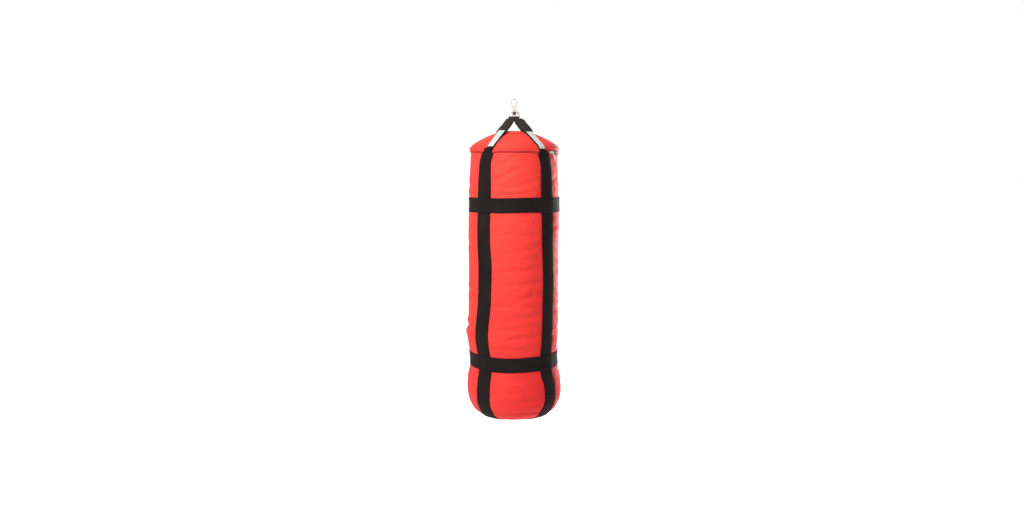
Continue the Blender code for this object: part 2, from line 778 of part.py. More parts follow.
def build_clevis(pivot):
    top = BRIDGE_TOP_Z - PIN_Z
    outline = arc((0.0, 0.0), EAR_RADIUS, 180.0, 360.0, 12)
    corner_x, corner_z = EAR_RADIUS - JAW_CORNER, top - JAW_CORNER
    outline += arc((corner_x, corner_z), JAW_CORNER, 0.0, 90.0, 3)
    outline += arc((-corner_x, corner_z), JAW_CORNER, 90.0, 180.0, 3)
    depth = JAW_OPENING + 2.0 * EAR_THICKNESS
    jaw = add("swivel_jaw", plate(outline, depth), PIN, pivot, steel)
    slot_height = BRIDGE_CLEARANCE + 2.0 * EAR_RADIUS
    slot_size = (4.0 * EAR_RADIUS, JAW_OPENING, slot_height)
    slot_middle = (0.0, 0.0, BRIDGE_CLEARANCE - slot_height / 2.0)
    combine(jaw, block(slot_size, slot_middle), "DIFFERENCE")
    combine(jaw, peg(PIN_RADIUS + GAP, 2.0 * depth, (0.0, 0.0, 0.0), "Y"), "DIFFERENCE")
    hole_middle = (0.0, 0.0, BRIDGE_CLEARANCE + BRIDGE_THICKNESS)
    combine(jaw, peg(RIVET_RADIUS + GAP, 2.0 * BRIDGE_THICKNESS, hole_middle), "DIFFERENCE")
    flare_height = RIVET_HEAD_HEIGHT + GAP
    flare_middle = (0.0, 0.0, BRIDGE_CLEARANCE + flare_height / 2.0 - 0.0001)
    flare_mouth = RIVET_HEAD_RADIUS + 2.0 * GAP
    flare = peg(flare_mouth, flare_height, flare_middle, tip_radius=RIVET_RADIUS + GAP)
    combine(jaw, flare, "DIFFERENCE")

    side = depth / 2.0
    shank_end = side + GAP + NUT_HEIGHT + BOLT_TIP
    head = side + GAP
    rim = BOLT_HEAD_RADIUS
    tip = PIN_RADIUS - BOLT_TIP_BEVEL
    face = -head - BOLT_HEAD_HEIGHT
    profile = [(0.0, shank_end), (tip, shank_end), (PIN_RADIUS, shank_end - BOLT_TIP_BEVEL)]
    profile += [(PIN_RADIUS, -head), (rim, -head), (rim, -head - BOLT_HEAD_HEIGHT * 0.45)]
    profile += [(rim - BOLT_HEAD_BEVEL, face), (0.0, face)]
    bolt = turned("clevis_bolt", profile, 24, PIN, pivot, dark_steel)
    bolt.rotation_euler.x = math.radians(-90.0)
    socket = peg(SOCKET_RADIUS, 2.0 * SOCKET_DEPTH, (0.0, face, 0.0), "Y", sides=6)
    socket.transform(Matrix.Rotation(math.radians(SOCKET_TWIST), 4, "Y"))
    combine(bolt, socket, "DIFFERENCE")
    nut_radius = NUT_ACROSS_FLATS / math.sqrt(3.0)
    nut_middle = (0.0, side + GAP + NUT_HEIGHT / 2.0, 0.0)
    nut = add("clevis_nut", peg(nut_radius, NUT_HEIGHT, nut_middle, "Y", sides=6), PIN, pivot, dark_steel)
    combine(nut, peg(PIN_RADIUS + GAP, 2.0 * NUT_HEIGHT, nut_middle, "Y"), "DIFFERENCE")


def build_swivel(pivot):
    peen = BASE_TOP_Z + GAP + RIVET_PEEN_HEIGHT
    foot = BRIDGE_Z + GAP
    profile = [
        (0.0, peen),
        (RIVET_PEEN_RADIUS * 0.6, peen),
        (RIVET_PEEN_RADIUS, peen - RIVET_PEEN_HEIGHT * 0.5),
        (RIVET_PEEN_RADIUS, BASE_TOP_Z + GAP),
        (RIVET_RADIUS, BASE_TOP_Z + GAP),
        (RIVET_RADIUS, foot + RIVET_HEAD_HEIGHT),
        (RIVET_HEAD_RADIUS, foot),
        (0.0, foot),
    ]
    turned("swivel_rivet", profile, 24, HANG_POINT, pivot, steel)
    low, high = BRIDGE_TOP_Z + GAP, WASHER_TOP_Z
    hole = RIVET_RADIUS + GAP
    ring = [(WASHER_RADIUS, high), (WASHER_RADIUS, low), (hole, low), (hole, high)]
    turned("swivel_washer", ring, 24, HANG_POINT, pivot, steel, closed=True)


def build_hook(pivot):
    foot = BASE_Z + BASE_HEIGHT / 2.0
    line = [(-HOOK_BEND, foot), (-HOOK_BEND, BASE_TOP_Z + 0.004)]
    line += arc((0.0, BEND_Z), HOOK_BEND, 180.0, 0.0, 14)
    line.append((HOOK_BEND, BEND_Z - HOOK_NOSE))
    points = [(x, 0.0, z) for x, z in line]
    frame = add("hook_frame", rod(points, HOOK_ROD, sides=3), HANG_POINT, pivot, steel)
    base_at = (0.0, 0.0, foot)
    combine(frame, block((BASE_LENGTH, BASE_DEPTH, BASE_HEIGHT), base_at), "UNION")
    lug = arc((GATE_PIVOT.x, GATE_PIVOT.z), LUG_RADIUS, 0.0, 180.0, 8)
    lug += [(GATE_PIVOT.x - LUG_RADIUS, foot), (GATE_PIVOT.x + LUG_RADIUS, foot)]
    lug_mesh = plate(lug, LUG_THICKNESS)
    lug_mesh.transform(Matrix.Translation((0.0, -LUG_FRONT - LUG_THICKNESS / 2.0, 0.0)))
    combine(frame, lug_mesh, "UNION")
    gate_bore = peg(GATE_PIN_RADIUS + GAP, 2.0 * BASE_DEPTH, GATE_PIVOT, "Y", sides=16)
    combine(frame, gate_bore, "DIFFERENCE")
    combine(frame, peg(RIVET_RADIUS + GAP, 2.0 * BASE_HEIGHT, base_at), "DIFFERENCE")


def build_gate(root, pivot):
    """A folded sheet: a web inside the nose, and two ears with thumb horns beside it."""
    web_out = -HOOK_ROD - GAP
    web_in = web_out - GATE_WALL
    top = GATE_TOP_RISE
    outline = arc((0.0, 0.0), GATE_EAR_RADIUS, 180.0, 360.0, 8)
    outline += [(GATE_EAR_RADIUS, 0.002), (GATE_EAR_RADIUS - 0.0006, 0.006)]
    outline += [(GATE_HORN, top + 0.001), (GATE_HORN - 0.001, top + 0.0026), (0.0010, top)]
    outline += [(web_in, top), (web_in, 0.0)]
    gate = add("hook_gate", plate(outline, 2.0 * GATE_EAR_OUTSIDE), GATE_PIVOT, pivot, steel)
    reach = 2.0 * GATE_TOP_RISE
    hollow = (reach, 2.0 * GATE_EAR_INSIDE, 2.0 * reach)
    combine(gate, block(hollow, (web_out + reach / 2.0, 0.0, 0.0)), "DIFFERENCE")
    hole = peg(GATE_PIN_RADIUS + GAP, 4.0 * GATE_EAR_OUTSIDE, (0.0, 0.0, 0.0), "Y", sides=16)
    combine(gate, hole, "DIFFERENCE")

    inner = GATE_EAR_OUTSIDE + GAP
    outer = inner + GATE_PIN_HEAD_HEIGHT
    r, big = GATE_PIN_RADIUS, GATE_PIN_HEAD
    profile = [(0.0, outer), (big, outer), (big, inner), (r, inner)]
    profile += [(r, -inner), (big, -inner), (big, -outer), (0.0, -outer)]
    pin = turned("gate_pin", profile, 16, GATE_PIVOT, root, steel)
    pin.rotation_euler.x = math.radians(-90.0)

    coil = GATE_PIN_RADIUS + GAP + SPRING_WIRE + 0.0001
    per_turn = 12
    first = GAP + SPRING_WIRE - LUG_FRONT
    last = GATE_EAR_INSIDE - 0.0002 - SPRING_WIRE
    total = SPRING_TURNS * per_turn
    points = []
    for k in range(total + 1):
        angle = 2.0 * math.pi * k / per_turn
        y = first + (last - first) * k / total
        points.append((coil * math.cos(angle), y, coil * math.sin(angle)))
    add("gate_spring", rod(points, SPRING_WIRE, sides=1), GATE_PIVOT, root, steel)


def zip_arc(name, start, stop, low, high, inner, outer, pivot, look):
    """A curved bar: a rectangle turned about Z between two azimuths."""
    steps = max(2, round((stop - start) / 3.0))

    def place(i, j):
        azimuth = start + (stop - start) * j / steps
        return polar(azimuth, (inner + outer) / 2.0, low + (high - low) * i)

    mesh = sheet(1, steps, place)
    return thicken(add(name, mesh, BAG, pivot, look), outer - inner, 0.0)


def build_zip(bag, slider_pivot, pull_pivot):
    middle = -ZIP_DEPTH
    skin = cover_radius(ZIP_DEPTH + TAPE_HEIGHT / 2.0)
    tape_in, tape_out = skin + GAP, skin + GAP + TAPE_THICKNESS
    coil_in = tape_out + GAP
    coil_out = coil_in + COIL_THICKNESS
    low, high = middle - TAPE_HEIGHT / 2.0, middle + TAPE_HEIGHT / 2.0
    zip_arc("zip_tape", ZIP_START, ZIP_END, low, high, tape_in, tape_out, bag, red_fabric)
    stop_turn = math.degrees(STOP_LENGTH / coil_out)
    space = math.degrees(STOP_SPACE / coil_out)
    low, high = middle - COIL_HEIGHT / 2.0, middle + COIL_HEIGHT / 2.0
    coil = (ZIP_START + stop_turn + 2.0 * space, ZIP_END - stop_turn - 2.0 * space)
    zip_arc("zip_coil", *coil, low, high, coil_in, coil_out, bag, zip_nylon)
    low, high = low - STOP_OVERHANG, high + STOP_OVERHANG
    starts = {"zip_stop_front": ZIP_START + space, "zip_stop_back": ZIP_END - space - stop_turn}
    for name, at in starts.items():
        zip_arc(name, at, at + stop_turn, low, high, coil_in, coil_out, bag, zip_metal)

    azimuth = slider_azimuth()
    plate_in = coil_out + GAP
    plate_out = plate_in + SLIDER_WALL
    face = Matrix.Rotation(math.radians(azimuth), 4, "Z")
    thick = plate_out - coil_in
    body = block((SLIDER_LENGTH, thick, SLIDER_HEIGHT), (0.0, -(plate_out - thick / 2.0), middle))
    body.transform(face)
    slider = add("zip_slider", body, BAG, slider_pivot, zip_metal)
    channel = peg(coil_out + GAP, COIL_HEIGHT + 2.0 * GAP, (0.0, 0.0, middle), sides=180)
    combine(slider, channel, "DIFFERENCE")
    pin_at = plate_out + BAIL_STANDOFF
    post_foot = plate_out - BAIL_POST_SUNK
    post_length = pin_at + PULL_PIN + BAIL_POST_CAP - post_foot
    for end in (-1.0, 1.0):
        x = end * (SLIDER_LENGTH / 2.0 - BAIL_POST)
        size = (BAIL_POST, post_length, 2.0 * (PULL_PIN + BAIL_POST_CAP))
        foot = block(size, (x, -(post_foot + post_length / 2.0), middle))
        foot.transform(face)
        combine(slider, foot, "UNION")
    bar = peg(PULL_PIN, SLIDER_LENGTH - 2.0 * BAIL_POST, (0.0, 0.0, 0.0), sides=12)
    bar.transform(Matrix.Rotation(math.radians(90.0), 4, "Y"))
    bar.transform(Matrix.Translation((0.0, -pin_at, middle)))
    bar.transform(face)
    combine(slider, bar, "UNION")

    knuckle_length = SLIDER_LENGTH - 3.0 * BAIL_POST - 4.0 * GAP
    pull = peg(KNUCKLE_RADIUS, knuckle_length, (0.0, 0.0, 0.0), sides=16)
    pull.transform(Matrix.Rotation(math.radians(90.0), 4, "Y"))
    pull.transform(face)
    tab = add("zip_pull", pull, Vector(pull_pivot["place"]), pull_pivot, zip_metal)
    half = PULL_WIDTH / 2.0
    neck = PULL_NECK
    end = -PULL_LENGTH
    outline = [(neck, 0.0), (-neck, 0.0), (-neck, -0.006), (-half, -0.011)]
    outline += arc((0.0, end + half), half, 180.0, 360.0, 8) + [(half, -0.011), (neck, -0.006)]
    tab_mesh = plate(outline, PULL_THICKNESS)
    tab_mesh.transform(face @ Matrix.Rotation(math.radians(-PULL_TILT), 4, "Y"))
    combine(tab, tab_mesh, "UNION")
    bore = peg(PULL_PIN + GAP, 2.0 * knuckle_length, (0.0, 0.0, 0.0), sides=16)
    bore.transform(Matrix.Rotation(math.radians(90.0), 4, "Y"))
    bore.transform(face)
    combine(tab, bore, "DIFFERENCE")


def slider_azimuth():
    """Where the slider stands when the zip is closed: against its front stop."""
    skin = cover_radius(ZIP_DEPTH)
    along = STOP_SPACE + STOP_LENGTH + 0.0010 + SLIDER_LENGTH / 2.0
    return ZIP_START + math.degrees(along / skin)


def pull_place():
    skin = cover_radius(ZIP_DEPTH + TAPE_HEIGHT / 2.0)
    pin_at = skin + GAP + TAPE_THICKNESS + GAP + COIL_THICKNESS + GAP + SLIDER_WALL + BAIL_STANDOFF
    return polar(slider_azimuth(), pin_at, RIM_Z - ZIP_DEPTH)


def main():
    hook = joint("hook", HANG_POINT, None)
    gate = joint("gate_hinge", GATE_PIVOT, hook)
    swivel = joint("swivel", (0.0, 0.0, BRIDGE_TOP_Z), hook)
    ring = joint("ring_swing", PIN, swivel)
    bag = joint("bag_swing", BAR, ring)
    slider = joint("zip_slide", BAG, bag)
    pull = joint("pull_swing", pull_place(), slider)
    build_hook(hook)
    build_gate(hook, gate)
    build_swivel(hook)
    build_clevis(swivel)
    build_ring(ring)
    build_cover(bag)
    build_filling(bag)
    build_webbing(bag)
    build_zip(bag, slider, pull)


for old in list(bpy.data.objects):
    bpy.data.objects.remove(old)

PARTS = collection("punching_bag")
CUTTERS = collection("cutters")
PIN = Vector((0.0, 0.0, PIN_Z))
BAR = Vector((0.0, 0.0, BAR_Z))
BAG = Vector((0.0, 0.0, RIM_Z))
main()
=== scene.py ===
"""Looks of a hanging punching bag: soft cover, webbing, hardware, studio light and camera.

Metres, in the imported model's frame. Heights are counted up and depths down from the bag's rim, and
azimuths in degrees from -Y towards +X.
"""

import math

import bmesh
import bpy
import numpy as np
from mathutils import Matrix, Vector
from mathutils.bvhtree import BVHTree


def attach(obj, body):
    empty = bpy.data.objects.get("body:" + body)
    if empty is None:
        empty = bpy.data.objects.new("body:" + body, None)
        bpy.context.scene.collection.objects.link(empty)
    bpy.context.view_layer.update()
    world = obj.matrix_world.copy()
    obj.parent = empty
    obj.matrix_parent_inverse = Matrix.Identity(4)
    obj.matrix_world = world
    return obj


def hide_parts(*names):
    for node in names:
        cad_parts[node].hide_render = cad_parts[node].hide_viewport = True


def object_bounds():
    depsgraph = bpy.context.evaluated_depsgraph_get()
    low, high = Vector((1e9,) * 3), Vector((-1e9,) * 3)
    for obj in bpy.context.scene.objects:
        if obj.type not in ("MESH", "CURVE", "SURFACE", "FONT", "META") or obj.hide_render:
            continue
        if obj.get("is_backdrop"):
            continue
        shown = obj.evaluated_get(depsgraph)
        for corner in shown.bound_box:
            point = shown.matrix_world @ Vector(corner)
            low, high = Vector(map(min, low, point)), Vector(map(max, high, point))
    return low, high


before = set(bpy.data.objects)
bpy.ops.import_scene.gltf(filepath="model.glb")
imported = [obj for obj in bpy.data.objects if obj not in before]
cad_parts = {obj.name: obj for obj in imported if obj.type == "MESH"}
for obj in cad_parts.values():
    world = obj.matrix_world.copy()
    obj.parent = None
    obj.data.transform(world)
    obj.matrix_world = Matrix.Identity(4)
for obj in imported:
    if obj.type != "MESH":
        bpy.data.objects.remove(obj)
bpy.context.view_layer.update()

# Sizes repeated from the part
GAP = 0.0003
RIM_Z = -0.174
BAR_Z = -0.066
PIN_Z = -0.048
UPPER_BAND = 0.195
LOWER_BAND = 0.7515
WEBBING = 0.050
STRAP = 0.058
WEB_THICK = 0.0020
RING_WIRE = 0.0035
RING_WIDTH = 0.050
PIN_RADIUS = 0.0040
LEG_WIDTH = 0.028
LEG_AT_RING = 0.0162
LEG_STRAIGHT = 0.0065
LEG_FLARE = 0.004
LANDING = {-1.0: -30.4, 1.0: 35.5}
SLEEVE_WIDTH = {"left": 0.0305, "right": 0.037}
SLEEVE_END = {"left": 0.43, "right": 0.475}
PATCH_START = {"left": 0.438, "right": 0.483}
PATCH_FOOT = {"left": 0.0045, "right": -0.0035}
PATCH_WIDTH = 0.0225
PATCH_SIDESTEP = 0.002
TAIL_DEPTH = 0.060
ZIP_FROM = 50.0
ZIP_TO = 129.5

# The skin's smooth line from the lid's centre to the base's centre, as (radius, height)
LID_LINE = [
    (0.0, 0.0640), (0.020, 0.0637), (0.040, 0.0622), (0.060, 0.0577), (0.079, 0.0510), (0.0964, 0.0440),
    (0.1162, 0.0345), (0.1349, 0.0246), (0.1450, 0.0180), (0.1530, 0.0112), (0.1573, 0.0058),
]
RIM_LINE = [
    (0.1588, 0.0018), (0.1591, -0.0020), (0.1591, -0.0055), (0.1580, -0.0086), (0.1555, -0.0104),
    (0.1543, -0.0120), (0.1541, -0.0150), (0.1546, -0.0230),
]
SIDE_LINE = [
    (0.1554, -0.045), (0.1563, -0.066), (0.1577, -0.098), (0.1588, -0.130), (0.1598, -0.160),
    (0.1597, -0.175), (0.1592, -0.195), (0.1598, -0.217), (0.1607, -0.240), (0.1610, -0.266),
    (0.1603, -0.350), (0.1601, -0.430), (0.1606, -0.500), (0.1609, -0.580), (0.1620, -0.616),
    (0.1642, -0.645), (0.1636, -0.672), (0.1604, -0.702), (0.1572, -0.7265), (0.1562, -0.7515),
    (0.1572, -0.7765), (0.1612, -0.794), (0.1655, -0.811), (0.1682, -0.826), (0.1700, -0.854),
    (0.1698, -0.884), (0.1662, -0.904), (0.1610, -0.916),
]
BASE_LINE = [
    (0.1552, -0.9270), (0.1470, -0.9395), (0.1300, -0.9508), (0.1050, -0.9606), (0.0785, -0.9680),
    (0.045, -0.9730), (0.020, -0.9741), (0.0, -0.9743),
]
AROUND = 192
MEAN_RADIUS = 0.16
RIGHT = np.array([1.0, 0.0, 0.0])
UP = np.array([0.0, 0.0, 1.0])

# Centre azimuths of the straps by depth: seen in the photograph at the front, guessed at the back
LEFT_FRONT = [
    (-0.02, -33.6), (-0.003, -34.2), (0.005, -35.5), (0.022, -37.2), (0.042, -40.8), (0.06, -41.2),
    (0.10, -41.2), (0.16, -41.3), (0.26, -42.3), (0.33, -42.4), (0.40, -40.2), (0.47, -40.4), (0.54, -41.2),
    (0.616, -44.4), (0.69, -44.2), (0.79, -40.8), (0.83, -40.4), (0.865, -40.8), (0.90, -41.0),
    (0.93, -40.4), (0.98, -41.5), (1.2, -42.0),
]
RIGHT_FRONT = [
    (-0.02, 39.6), (-0.003, 39.4), (0.005, 39.6), (0.022, 40.8), (0.040, 43.4), (0.073, 45.6),
    (0.125, 45.9), (0.16, 45.9), (0.264, 46.9), (0.334, 47.7), (0.403, 49.2), (0.472, 49.9), (0.542, 49.0),
    (0.611, 48.2), (0.657, 46.7), (0.691, 46.7), (0.795, 46.2), (0.83, 49.1), (0.865, 50.0), (0.886, 50.2),
    (0.905, 49.4), (0.93, 47.4), (0.98, 47.6), (1.2, 48.0),
]
LEFT_BACK = [
    (-0.02, 144.4), (0.005, 144.2), (0.03, 142.5), (0.07, 138.6), (0.16, 138.0), (0.30, 137.0),
    (0.42, 139.2), (0.55, 138.8), (0.66, 136.6), (0.76, 137.6), (0.86, 139.2), (0.98, 138.2), (1.2, 138.0),
]
RIGHT_BACK = [
    (-0.02, 219.6), (0.005, 219.8), (0.03, 222.6), (0.07, 226.6), (0.16, 227.8), (0.30, 229.0),
    (0.44, 227.3), (0.56, 228.3), (0.67, 229.4), (0.76, 227.5), (0.87, 226.8), (0.98, 227.7), (1.2, 228.0),
]

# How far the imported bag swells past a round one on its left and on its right, by depth
SWELL_LEFT = [
    (0.0, 0.0), (0.05, 0.0014), (0.12, 0.0030), (0.19, 0.0016), (0.27, 0.0026), (0.34, 0.0036),
    (0.48, 0.0040), (0.60, 0.0052), (0.655, 0.0082), (0.69, 0.0066), (0.73, 0.0056), (0.765, 0.0030),
    (0.83, 0.0028), (0.87, 0.0018), (0.91, 0.0), (1.2, 0.0),
]
SWELL_RIGHT = [
    (0.0, -0.0008), (0.10, -0.0014), (0.15, -0.0010), (0.19, 0.0014), (0.25, 0.0016), (0.32, -0.0018),
    (0.55, -0.0024), (0.61, -0.0034), (0.65, -0.0064), (0.69, -0.0054), (0.73, -0.0036), (0.765, -0.0002),
    (0.83, 0.0), (0.87, -0.0008), (0.92, 0.0), (1.2, 0.0),
]


def ease(share):
    share = np.clip(share, 0.0, 1.0)
    return share * share * (3.0 - 2.0 * share)


def table_at(table, depth):
    """A table's value at a depth, with the corners between its rows rounded."""
    depths, values = np.array(table).T
    offsets = np.linspace(-0.03, 0.03, 13)
    weights = np.exp(-((offsets / 0.015) ** 2))
    depth = np.asarray(depth, dtype=float)
    return sum(w * np.interp(depth + o, depths, values) for w, o in zip(weights, offsets)) / weights.sum()


def polar(azimuth, radius, height):
    turn = np.radians(azimuth)
    return np.stack(np.broadcast_arrays(radius * np.sin(turn), -radius * np.cos(turn), RIM_Z + height), -1)


def tangent(azimuth):
    turn = np.radians(azimuth)
    return np.stack([np.cos(turn), np.sin(turn), np.zeros_like(turn)], -1)


def unit(vectors):
    return vectors / np.maximum(np.linalg.norm(vectors, axis=-1, keepdims=True), 1e-12)


def spline(points):
    """A smooth curve through points, with 24 samples between each pair."""
    points = np.array(points, dtype=float)
    gaps = np.linalg.norm(np.diff(points, axis=0), axis=1) ** 0.5
    knots = np.concatenate([[0.0], np.cumsum(gaps)])
    slopes = np.gradient(points, knots, axis=0, edge_order=1)
    out = []
    for k, gap in enumerate(gaps):
        t = np.linspace(0.0, 1.0, 24, endpoint=False)[:, None]
        out.append(
            (1 + 2 * t) * (1 - t) ** 2 * points[k] + t * (1 - t) ** 2 * gap * slopes[k]
            + t * t * (3 - 2 * t) * points[k + 1] + t * t * (t - 1) * gap * slopes[k + 1]
        )
    return np.concatenate(out + [points[-1:]])


def resample(line, step):
    """The same line with points a step apart; step may be a function of the point."""
    lengths = np.linalg.norm(np.diff(line, axis=0), axis=1)
    steps = np.array([step(p) for p in line[:-1]]) if callable(step) else np.full(len(lengths), step)
    count = np.concatenate([[0.0], np.cumsum(lengths / steps)])
    wanted = np.linspace(0.0, count[-1], max(2, int(round(count[-1])) + 1))
    return np.stack([np.interp(wanted, count, line[:, k]) for k in range(line.shape[1])], -1)


def blur(values, sigma, axis, wrap=False):
    reach = int(math.ceil(3 * sigma))
    kernel = np.exp(-0.5 * (np.arange(-reach, reach + 1) / sigma) ** 2)
    kernel /= kernel.sum()
    pads = [(0, 0)] * values.ndim
    pads[axis] = (reach, reach)
    padded = np.pad(values, pads, mode="wrap" if wrap else "edge")
    return sum(
        w * np.take(padded, np.arange(k, k + values.shape[axis]), axis=axis) for k, w in enumerate(kernel)
    )


def new_object(name, points, faces, uvs=None, look=None, smooth=True):
    """A mesh object from numpy points; uvs is one pair for each point."""
    mesh = bpy.data.meshes.new(name)
    mesh.from_pydata(np.asarray(points).reshape(-1, 3).tolist(), [], [list(map(int, f)) for f in faces])
    if uvs is not None:
        layer = mesh.uv_layers.new(name="UVMap")
        corners = np.empty(len(mesh.loops), dtype=np.int64)
        mesh.loops.foreach_get("vertex_index", corners)
        layer.data.foreach_set("uv", np.asarray(uvs, dtype=np.float32)[corners].ravel())
    whole = bmesh.new()
    whole.from_mesh(mesh)
    if all(edge.is_manifold for edge in whole.edges):
        bmesh.ops.recalc_face_normals(whole, faces=whole.faces)
        whole.to_mesh(mesh)
    whole.free()
    if smooth:
        mesh.shade_smooth()
    made = bpy.data.objects.new(name, mesh)
    bpy.context.scene.collection.objects.link(made)
    if look is not None:
        mesh.materials.append(look)
    return made


def tree_of(*surfaces):
    """A ray-casting tree over (points, faces) surfaces."""
    points, faces, start = [], [], 0
    for cloud, polygons in surfaces:
        points += np.asarray(cloud).reshape(-1, 3).tolist()
        faces += [[int(v) + start for v in f] for f in polygons]
        start = len(points)
    return BVHTree.FromPolygons(points, faces)


# The skin as one grid
def skin_line():
    line = spline(LID_LINE + RIM_LINE + SIDE_LINE + BASE_LINE)

    def step(point):
        return 0.0026 if point[0] > 0.14 and -0.03 < point[1] < 0.02 else 0.0056

    return resample(line, step)


LINE = skin_line()
HEIGHTS = LINE[:, 1]
ANGLES = np.arange(AROUND) * 360.0 / AROUND
STRAPS = (LEFT_FRONT, RIGHT_FRONT, LEFT_BACK, RIGHT_BACK)

# The foam liner's outside, as (depth, radius)
FOAM_LINE = [(0.0, 0.1532), (0.15, 0.1572), (0.62, 0.1572), (0.7515, 0.1542), (0.866, 0.1657), (0.897, 0.158)]


def apart(first, second):
    """The smallest turn from one azimuth to another, in degrees."""
    return (first - second + 180.0) % 360.0 - 180.0


def strap_span(height):
    """Half the width of a body strap: it is gathered at the rim."""
    opened = 0.019 * ease((-0.008 - height) / 0.010)
    return 0.5 * (0.031 + opened + (STRAP - 0.050) * ease((-0.02 - height) / 0.13))


def shape_skin():
    """Grid of points before the simulation, and how firmly each is held."""
    radius, height = (np.repeat(LINE[:, k:k + 1], AROUND, axis=1).copy() for k in (0, 1))
    azimuth = np.repeat(ANGLES[None, :], len(LINE), axis=0)
    held = np.zeros_like(radius)
    side = (height < -0.012) & (radius > 0.12)
    depth = -height
    ahead = unit(np.gradient(LINE, axis=0))
    out_r, out_z = -ahead[:, 1:2], ahead[:, 0:1]

    # straps press in, and the rim dips beside them
    press = np.zeros_like(radius)
    for table in STRAPS:
        centre = table_at(table, depth)
        off = np.abs(np.radians(apart(azimuth, centre)) * radius)
        half = strap_span(height)
        inside = 1.0 - ease((off - half + 0.004) / 0.011)
        near = ease((0.010 - height) / 0.014)
        press = np.maximum(press, inside * near * np.where(radius > 0.10, 0.0021, 0.0012))
        firm = (1.0 - ease((off - half + 0.002) / 0.006)) * near
        held = np.maximum(held, firm)
        at_rim = float(table_at(table, 0.0))
        dip = 0.0060 * np.exp(-((apart(azimuth, at_rim) / 9.5) ** 2))
        weight = np.exp(-(((height + 0.006) / 0.017) ** 2)) * (radius > 0.14)
        height -= dip * weight

    for middle, amount in ((UPPER_BAND, 0.0007), (LOWER_BAND, 0.0002)):
        off = np.abs(depth - middle)
        press += amount * (1.0 - ease((off - 0.021) / 0.009)) * side
        held = np.maximum(held, 1.0 - ease((off - 0.0235) / 0.006))
    radius -= press * out_r
    height -= press * out_z

    # seams pucker a little between the stitches
    rim_zone = (radius > 0.13) & (height > -0.030) & (height < 0.006)
    pucker = np.sin(np.radians(azimuth) * 71.0) * 0.5 + np.sin(np.radians(azimuth) * 47.0 + 1.3) * 0.5
    radius += pucker * 0.00035 * np.exp(-(((height + 0.014) / 0.010) ** 2)) * (radius > 0.13)
    held = np.maximum(held, rim_zone * 1.0)
    base_zone = np.exp(-(((depth - 0.928) / 0.011) ** 2))
    radius += pucker * 0.0006 * base_zone
    held = np.maximum(held, base_zone > 0.55)
    held = np.maximum(held, (radius < 0.02) * 1.0)

    # the zip needs a flat seat under its tape
    zone = ease((azimuth - ZIP_FROM + 5.0) / 4.0) * ease((ZIP_TO + 5.0 - azimuth) / 4.0)
    seat = zone * ease((-0.0015 - height) / 0.0035) * ease((height + 0.030) / 0.006) * (radius > 0.13)
    radius += (np.minimum(radius, 0.1557) - radius) * seat
    held = np.maximum(held, seat > 0.3)

    # the fill swells to the left and is slack on the right
    turn = np.sin(np.radians(azimuth))
    swell = table_at(SWELL_LEFT, depth) * np.maximum(0.0, -turn) ** 2
    swell = swell + table_at(SWELL_RIGHT, depth) * np.maximum(0.0, turn) ** 2
    radius += swell * (radius > 0.13)

    # never inside the foam
    foam = np.interp(depth, *np.array(FOAM_LINE).T)
    radius = np.where(side & (depth < 0.90), np.maximum(radius, foam + 0.0008), radius)
    return polar(azimuth, radius, height), held


def between(a, b, columns, wrap=True):
    """Four-sided faces between two rows of points that start at a and b, closed round them or open."""
    j = np.arange(columns if wrap else columns - 1)
    following = (j + 1) % columns
    return np.stack([a + j, a + following, b + following, b + j], -1)


def grid_faces(rows, columns, wrap=True):
    """Four-sided faces of a grid of points, closed round its columns or open."""
    return np.concatenate([between(k * columns, (k + 1) * columns, columns, wrap) for k in range(rows - 1)])


def vertex_normals(grid):
    """Outward normals of a grid whose first axis runs down and second turns towards +X at the front."""
    down = np.gradient(grid, axis=0)
    across = np.roll(grid, -1, axis=1) - np.roll(grid, 1, axis=1)
    return unit(np.cross(down, across))


def strip_faces(grid):
    """Faces of an open grid of points."""
    return grid_faces(grid.shape[0], grid.shape[1], wrap=False)


def facing(grid, along, outs):
    """Normals of a strap's grid, on the side that outs points to."""
    normals = unit(np.cross(np.gradient(grid, axis=1), along))
    return normals * np.sign(np.sum(normals * outs, axis=-1, keepdims=True))


